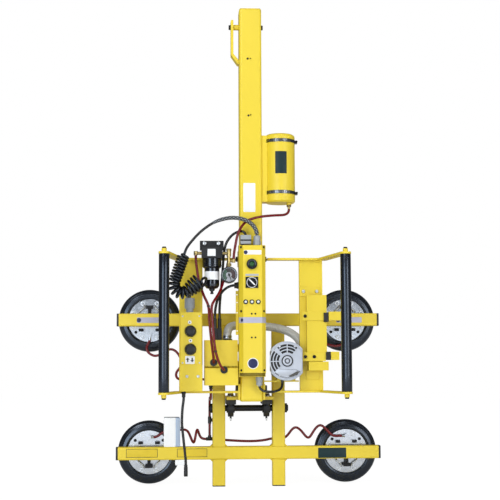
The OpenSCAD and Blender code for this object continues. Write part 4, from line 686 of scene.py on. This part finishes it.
# Red vacuum hoses: dark red rubber hose with a braid under its skin, pushed onto barbs.
# They run from tank to gauge tee, from the filter to the valve box and over the tilting frame.
def braided(name, colour, shade, pitch_mm, rough, strand=None):
    """Hose skin with two sets of braid lines that cross at 70 degrees, read from its own map in metres.
    A strand colour shows where the lines cross."""
    mat = finish(name, colour, shade, rough, 2.0, 0.02, 60, 0.0, {"IOR": 1.52})
    tree = mat.node_tree
    flat = add(mat, "UVMap", {}, uv_map="UVMap").outputs["UV"]
    waves = []
    for side in (-1, 1):
        lean = add(mat, "Mapping", {"Vector": flat, "Rotation": (0, 0, side * math.radians(35))}).outputs["Vector"]
        lines = add(mat, "TexWave", {"Vector": lean, "Scale": 2 * math.pi / (20 * pitch_mm * MM)})
        waves.append(lines.outputs["Fac"])
    braid = add(mat, "Math", {0: waves[0], 1: waves[1]}, operation="MAXIMUM").outputs["Value"]
    raised = add(mat, "Bump", {"Height": braid, "Distance": 0.12 * MM, "Strength": 1.0})
    tree.links.new(raised.outputs["Normal"], tree.nodes["Principled BSDF"].inputs["Normal"])
    if strand:
        crossing = add(mat, "Math", {0: waves[0], 1: waves[1]}, operation="MULTIPLY").outputs["Value"]
        tone = add(mat, "Mix", {0: crossing, 6: linear(colour), 7: linear(strand)}, data_type="RGBA")
        tree.links.new(tone.outputs[2], tree.nodes["Principled BSDF"].inputs["Base Color"])
    return mat


red_rubber = braided("red_braided_rubber", "#7a0414", "#62030f", 2.2, 0.26)
black_sheath = finish("black_cable_sheath", "#0b0b0e", "#101013", 0.25, 1.5, 0.03, 40, 0.0, {"IOR": 1.5})


ease_step = 2.0


def softened(path, reach, hold=3):
    """The same path with its bends eased over about reach mm: every station moves half way to the middle of
    its neighbours, again and again, while the first hold stations and the last three stay."""
    path = even(path, ease_step)
    for _ in range(int(2 * (reach / ease_step) ** 2)):
        path[hold:-3] += 0.25 * (path[hold - 1:-4] - 2 * path[hold:-3] + path[hold + 1:-2])
    return path


def hose_path(route, step=4.0, reach=8.0):
    """A route in mm as a smooth path in metres, straight from its first point to its second and at its end."""
    steps = 12
    curve = curve_through(route, steps)
    path = np.concatenate([curve[:1], curve[steps:-steps], curve[-1:]])
    return MM * even(softened(path, reach), step)


def length_of(path):
    """The length of a path, station by station."""
    return float(np.linalg.norm(np.diff(path, axis=0), axis=1).sum())


def hose(name, path, d, body, mat, node, sides=20):
    """A hose or cable of diameter d mm along its path: it rides on a body and stands for its CAD node."""
    made = fit(skin(name, tube(path, d / 2 * MM, sides), uv=True), body, mat)
    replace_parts(made, node)
    return made


hose_d = 10
mast_runs = {
    "tank_hose": [
        (152.5, -106, -733.2), (152.5, -106, -745), (134, -120, -758), (92, -148, -764), (40, -172, -772),
        (-8, -180, -785), (-36, -192, -809), (-55, -204, -846), (-64, -206, -888), (-69, -198, -918),
        (-70, -195, -930), (-70, -195, -939.8)],
    "left_hose": [
        (-216, -195, -925.2), (-216, -195, -940), (-212, -196, -975), (-203, -198, -1030), (-186, -210, -1080),
        (-168, -226, -1123), (-165, -230, -1176), (-155, -216, -1270), (-148, -204, -1318), (-147, -188, -1336),
        (-147, -176.2, -1336)],
    "right_hose": [
        (-89, -172, -930.2), (-89, -172, -942), (-95, -174, -970), (-105, -177, -1010), (-116, -190, -1045),
        (-126, -208, -1070), (-142, -226, -1096), (-156, -238, -1123), (-154, -242, -1176), (-142, -234, -1290),
        (-124, -224, -1345), (-108, -210, -1364), (-108, -198.2, -1364)]}
for name, route in mast_runs.items():
    hose(name, hose_path(route), hose_d, "mast", red_rubber, "red_hoses")
supply_route = [
    (-156, -94, -1439.2), (-156, -94, -1450), (-156, -76, -1476), (-156, -20, -1478), (-156, 40, -1474),
    (-156, 84, -1482), (-156, 105, -1508), (-156, 109, -1540), (-156, 109, -1551.8)]
supply_path = hose_path(supply_route)
supply = skin("supply_hose_run", tube(supply_path, hose_d / 2 * MM, 20), uv=True)
supply.data.materials.append(red_rubber)
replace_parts(supply, "supply_hose")
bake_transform(supply)
frame_runs = {
    "spine_hose": [(-156, 109, -1580.2), (-156, 109, -1600), (-156, 109, -1615), (-156, 109, -1627.8)],
    "wave_hose": [
        (-170.2, 109, -1642), (-178, 109, -1642), (-189, 110, -1640), (-197, 109, -1627), (-202, 103, -1610),
        (-206, 89, -1602), (-210, 75, -1610), (-213.5, 69, -1629), (-217, 75, -1648), (-221, 89, -1656),
        (-227, 103, -1648), (-235, 109, -1629), (-243, 104, -1611), (-254, 99, -1603), (-270, 101, -1604),
        (-310, 104, -1607), (-346, 108, -1616), (-366, 109, -1631), (-372, 109, -1633), (-381.8, 109, -1633)],
    "cross_hose": [
        (-141.8, 109, -1642), (-132, 109, -1642), (-90, 109, -1647), (0, 109, -1652), (60, 109, -1649),
        (94, 109, -1642), (105.8, 109, -1642)],
    "right_wave_hose": [
        (134.2, 109, -1642), (142, 109, -1642), (158, 108, -1632), (176, 106, -1608), (192, 104, -1596),
        (212, 102, -1608), (242, 102, -1642), (256, 102, -1628), (272, 102, -1604), (292, 103, -1588),
        (314, 105, -1602), (340, 108, -1630), (360, 109, -1634), (370, 109, -1633), (381.8, 109, -1633)],
    "upper_left_hose": [
        (-400, 109, -1243.2), (-400, 109, -1250), (-410, 107, -1266), (-408, 104, -1290), (-372, 100, -1308),
        (-318, 98, -1280), (-286, 96, -1296), (-268, 92, -1340), (-292, 90, -1376), (-286, 92, -1400),
        (-258, 96, -1402), (-200, 104, -1402), (-146, 111, -1408), (-126, 112, -1440), (-124, 112, -1500),
        (-124, 111, -1545), (-130, 109, -1566), (-139.8, 109, -1566)],
    "upper_right_hose": [
        (400, 109, -1243.2), (400, 109, -1250), (386, 108, -1264), (358, 106, -1270), (330, 104, -1264),
        (260, 104, -1256), (190, 108, -1278), (140, 111, -1330), (123, 111, -1400), (120, 110, -1500),
        (120, 109, -1600), (120, 109, -1616), (120, 109, -1627.8)]}
for name, route in frame_runs.items():
    hose(name, hose_path(route), hose_d, "pad_frame", red_rubber, "frame_hoses")


def cable_tie(name, place, axis, r, body):
    """A nylon tie: a flat band wrapped round an axis with its square head on the front."""
    band = turned_loop(place, axis, [(r, -2.2), (r + 1.2, -2.2), (r + 1.2, 2.2), (r, 2.2)], 32)
    head = slab(np.asarray(place) + (r + 0.6) * OUT, *FRONT, 6, 6, 4, 1, 0.6)
    fit(skin(name + "_band", band, loop=True), body, black_plastic)
    fit(skin(name + "_head", head), body, black_plastic)


cable_tie("left_hose_tie", (-168, -226, -1123), (0.2, -0.3, -1), hose_d / 2, "mast")
cable_tie("right_hose_tie", (-141.4, -233.6, -1294), (0.2, 0.1, -1), hose_d / 2, "mast")


# Black cables: round sheathed control cables from the connector and the box to the moulded plugs and
# the motor, an arched cable to the pendant with a woven steel strain grip, and its glossy curly cord.
cable_d = 10
black_runs = {
    "connector_cable": [
        (-24, -190, -847.8), (-24, -190, -838), (-40, -186, -830), (-72, -173, -842), (-98, -162, -876),
        (-107, -159, -920), (-110, -158, -960), (-116, -150, -1040), (-122, -134, -1110), (-123, -126, -1154),
        (-123, -126, -1165.8)],
    "control_cable": [
        (-67.2, -172, -1040), (-76, -172, -1040), (-104, -164, -1054), (-128, -148, -1086), (-138, -136, -1122),
        (-141, -130, -1156), (-141, -130, -1165.8)],
    "motor_cable": [
        (28, -172, -1423.2), (28, -172, -1430), (36, -176, -1442), (58, -184, -1448), (88, -184, -1447),
        (110, -170, -1438), (118, -156, -1424), (118, -156, -1412.2)]}
for name, route in black_runs.items():
    hose(name, hose_path(route), cable_d, "mast", black_sheath, "black_cables")

cord_d, tight_turns, bend_turns, loose_turns = 10, 10, 6, 5
coil_start = np.array([-259.5, -266, -926.0])
coil_down, coil_up = unit([-37.5, 0, -106]), unit([0.78, 0, 0.63])
tight_len, loose_len, bend_r, tight_r, loose_r = 114, 68, 31, 19.5, 29
ramp_len, crowd_ramp, stagger = 14, 20, 5.5
bend_angle = math.acos(coil_down @ coil_up)
bend_len = bend_r * bend_angle
coil_len = tight_len + bend_len + loose_len


def left_of(d):
    """The direction a quarter turn to the left of d in the upright plane of the coil."""
    return np.stack([-d[..., 2], 0 * d[..., 1], d[..., 0]], -1)


def ease(t):
    """Smooth step from 0 to 1."""
    t = np.clip(t, 0, 1)
    return t * t * (3 - 2 * t)


def curly_path(per_turn):
    """Helix round an axis that runs straight down, round a bend and straight up again: close turns,
    turns set forward and back by turns where the bend crowds them, then a loose run, with a radius that
    starts and ends at nothing."""
    turns = tight_turns + bend_turns + loose_turns - 0.25
    turn = np.linspace(0, turns, int(turns * per_turn) + 1)
    s = np.interp(turn, np.cumsum([0, tight_turns, bend_turns, loose_turns]),
                  np.cumsum([0, tight_len, bend_len, loose_len]))
    bent = np.clip((s - tight_len) / bend_r, 0, bend_angle)[:, None]
    heading = np.cos(bent) * coil_down + np.sin(bent) * left_of(coil_down)
    centre = coil_start + coil_down * tight_len + bend_r * left_of(coil_down)
    axis = (centre - bend_r * left_of(heading) + np.minimum(s - tight_len, 0)[:, None] * coil_down
            + np.maximum(s - tight_len - bend_len, 0)[:, None] * coil_up)
    r = tight_r + (loose_r - tight_r) * ease((s - tight_len - 0.8 * bend_len) / (4 * ramp_len))
    r = (r * ease(s / ramp_len) * ease((coil_len - s) / ramp_len))[:, None]
    a = 2 * np.pi * turn[:, None]
    into, out_of = s - tight_len + crowd_ramp / 2, tight_len + bend_len + crowd_ramp / 2 - s
    crowded = ease(into / crowd_ramp) * ease(out_of / crowd_ramp)
    aside = (stagger * np.cos(np.pi * turn) * crowded)[:, None]
    return axis + r * np.cos(a) * left_of(heading) + (r * np.sin(a) + aside) * np.array([0, 1, 0])


tail_route = [
    (-186, -262, -1017), (-177, -252, -1016), (-176, -242, -1026), (-188, -230, -1046), (-212, -215, -1062),
    (-232, -197, -1068), (-239, -188, -1079), (-239, -188, -1089.8)]
helix = np.concatenate([[coil_start - coil_down * cord_d, coil_start - coil_down * cord_d / 2], curly_path(24)])
tail_steps = 10
tail = np.concatenate([curve_through(tail_route, tail_steps)[:-tail_steps], tail_route[-1:]])
coil_path = softened(np.concatenate([helix, tail]), 8.0, int(length_of(helix) / ease_step) - 8)
coil_vinyl = finish("glossy_coil_vinyl", "#0a0b0f", "#0d0e13", 0.2, 2.0, 0.02, 40, 0.0,
                    {"IOR": 1.65, "Specular Tint": (0.75, 0.86, 1.0, 1.0)})
hose("curly_cord_run", MM * even(coil_path, 2.2), cord_d, "mast", coil_vinyl, "curly_cord",
     sides=12)
cable_end = coil_start - coil_down * (cord_d + 0.2)
arch_route = [
    (20, -190, -849.8), (20, -190, -838), (12, -194, -818), (-10, -202, -797), (-50, -214, -784),
    (-96, -230, -786), (-146, -247, -804), (-194, -259, -838), (-230, -266, -876),
    tuple(cable_end - coil_down * 12), tuple(cable_end)]
arch_path = hose_path(arch_route)
woven_steel = braided("woven_steel_grip", "#0f1013", "#0c0d0f", 9.0, 0.35, "#a4aab2")
grip_len = 54
taper = MM * np.interp(np.arange(grip_len), (0, 3, grip_len - 10, grip_len), (8.2, 8.2, 7.4, 5.3))
strain_grip = skin("strain_grip", tube(arch_path[2:grip_len + 2], taper[:, None], 24), uv=True)
fit(strain_grip, "mast", woven_steel)
hose("pendant_cable_run", arch_path, cable_d, "mast", black_sheath, "pendant_cable")


# Pump hose: clear grey hose with a steel spiral in its wall, from the pump to the valve box.
pump_route = [
    (205, -44, -1287.8), (205, -44, -1276), (196, -44, -1248), (168, -44, -1222), (122, -42, -1203),
    (63, -38, -1194), (-16, -36, -1190), (-60, -45, -1190), (-83, -72, -1198), (-92, -100, -1218),
    (-92, -100, -1234), (-92, -100, -1243.8)]
pump_hose_d, spiral_pitch, spiral_rise, pump_step, pump_sides = 33, 7.0, 0.5, 0.9, 28
pump_path = hose_path(pump_route, pump_step, 16.0)
clear_grey = finish("clear_grey_vinyl", "#dadcdc", "#c4c7c8", 0.16, 3.0, 0.02, 40, 0.0,
                    {"IOR": 1.5, "Transmission Weight": 0.1})
travel = pump_step * np.arange(len(pump_path))[:, None]
around = 2 * np.pi * np.arange(pump_sides) / pump_sides
spiral = MM * (pump_hose_d / 2 - spiral_rise + spiral_rise * np.cos(2 * np.pi * travel / spiral_pitch + around))
pump_run = fit(skin("pump_hose_run", tube(pump_path, spiral, pump_sides)), "mast", clear_grey)
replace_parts(pump_run, "pump_hose")
hose_clamp = [(16.6, -5), (17.6, -5), (17.6, 5), (16.6, 5)]
clamps = [turned_loop(place, (0, 0, 1), hose_clamp, 40) for place in ((205, -44, -1279), (-92, -100, -1236))]
piece("pump_hose_clamps", clamps, bright_steel, loop=True)


# Power lead: a round black lead that hangs from a gland under the handle bar and ends in a moulded
# inline connector, with a blank white flag wrapped round it.
lead_route = [
    (-261.5, -190, -1467.2), (-261.5, -190, -1478), (-266, -190, -1510), (-268, -190, -1566), (-263, -190, -1616),
    (-256, -190, -1680), (-253, -190, -1706), (-253, -190, -1720)]
lead_end = lead_route[-1]
moulding = [
    (4.8, -0.2), (6.2, 0.4), (6.5, 3), (6.5, 9), (7.2, 10), (7.5, 12), (6.9, 14), (7.5, 16), (6.9, 18), (7.5, 20),
    (6.9, 22), (7.5, 24), (7.5, 41), (6.8, 43.6), (5.4, 43.8), (5.2, 39)]
plug = fit(skin("lead_connector", turned(lead_end, (0, 0, -1), moulding, 32)), "mast", black_plastic)
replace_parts(plug, "lead_plug")
flag = fit(skin("lead_flag", slab((-272, -189, -1712), *FRONT, 42, 20, 1.6, 2, 0.6)), "mast", white_vinyl)
hose("power_lead_run", hose_path(lead_route), cable_d, "mast", black_sheath, "power_lead")
cable_tie("lead_tie", (-267.4, -190, -1580), (0, 0, -1), cable_d / 2, "mast")


# Floor, backdrop and light: a white floor that keeps a soft shadow and white all round for the camera,
# a dim cool room for what gloss shows, and large soft lamps as in a studio.
floor_mesh = bpy.data.meshes.new("floor")
floor_half, floor_z = 14.0, cad_box[0][2]
floor_corners = [(i * floor_half, j * floor_half, floor_z) for i, j in ((-1, -1), (1, -1), (1, 1), (-1, 1))]
floor_mesh.from_pydata(floor_corners, [], [(0, 1, 2, 3)])
floor = bpy.data.objects.new("floor", floor_mesh)
scene.collection.objects.link(floor)
floor_white = bpy.data.materials.new("white_studio_floor")
floor_white.use_nodes = True
floor_white.node_tree.nodes.clear()
ray = add(floor_white, "LightPath", {})
share = add(floor_white, "Math", {0: ray.outputs["Is Camera Ray"], 1: 0.8}, operation="MULTIPLY")
matt = add(floor_white, "BsdfDiffuse", {"Color": (0.9, 0.9, 0.9, 1.0)})
glow = add(floor_white, "Emission", {"Color": (1.0, 1.0, 1.0, 1.0), "Strength": 1.15})
mixed = add(floor_white, "MixShader", {0: share.outputs[0], 1: matt.outputs[0], 2: glow.outputs[0]})
add(floor_white, "OutputMaterial", {"Surface": mixed.outputs[0]})
floor.data.materials.append(floor_white)

world = bpy.data.worlds.new("studio")
scene.world = world
world.use_nodes = True
world.node_tree.nodes.clear()
ray = add(world, "LightPath", {})
seen = add(world, "Math", {0: ray.outputs["Is Camera Ray"], 1: ray.outputs["Is Transmission Ray"]},
           operation="MAXIMUM")
room = add(world, "Background", {"Color": (1.0, 1.0, 1.0, 1.0), "Strength": 0.44})
dim = add(world, "Background", {"Color": (0.9, 0.95, 1.0, 1.0), "Strength": 0.16})
white = add(world, "Background", {"Color": (1.0, 1.0, 1.0, 1.0), "Strength": 1.0})
lit = add(world, "MixShader", {0: ray.outputs["Is Glossy Ray"], 1: room.outputs[0], 2: dim.outputs[0]})
shown = add(world, "MixShader", {0: seen.outputs[0], 1: lit.outputs[0], 2: white.outputs[0]})
add(world, "OutputWorld", {"Surface": shown.outputs[0]})


def lamp(name, place, target, width, height, power, tint=(1.0, 1.0, 1.0)):
    """A soft lamp with a rectangular face turned to its target."""
    data = bpy.data.lights.new(name, "AREA")
    data.shape = "RECTANGLE"
    data.size, data.size_y = width, height
    data.energy = power
    data.color = tint
    made = bpy.data.objects.new(name, data)
    made.location = place
    away = unit(np.subtract(place, target))
    made.rotation_euler = (math.acos(away[2]), 0.0, math.atan2(away[0], -away[1]))
    scene.collection.objects.link(made)


lamp("key", (-2.2, -4.2, 1.8), (0, 0, -1.2), 1.2, 1.2, 62)
lamp("streak", (-2.3, -4.5, -0.85), (0, 0, -1.1), 1.8, 1.8, 62, (0.8, 0.9, 1.0))
lamp("fill", (2.9, -4.2, -0.6), (0, 0, -1.3), 1.8, 1.8, 54)
lamp("front", (0.3, -5.2, 2.6), (0, 0, -1.4), 2.0, 1.4, 36)
lamp("panel", (-0.3, -5.4, -1.5), (0, 0, -1.5), 5.0, 0.9, 26, (0.85, 0.92, 1.0))
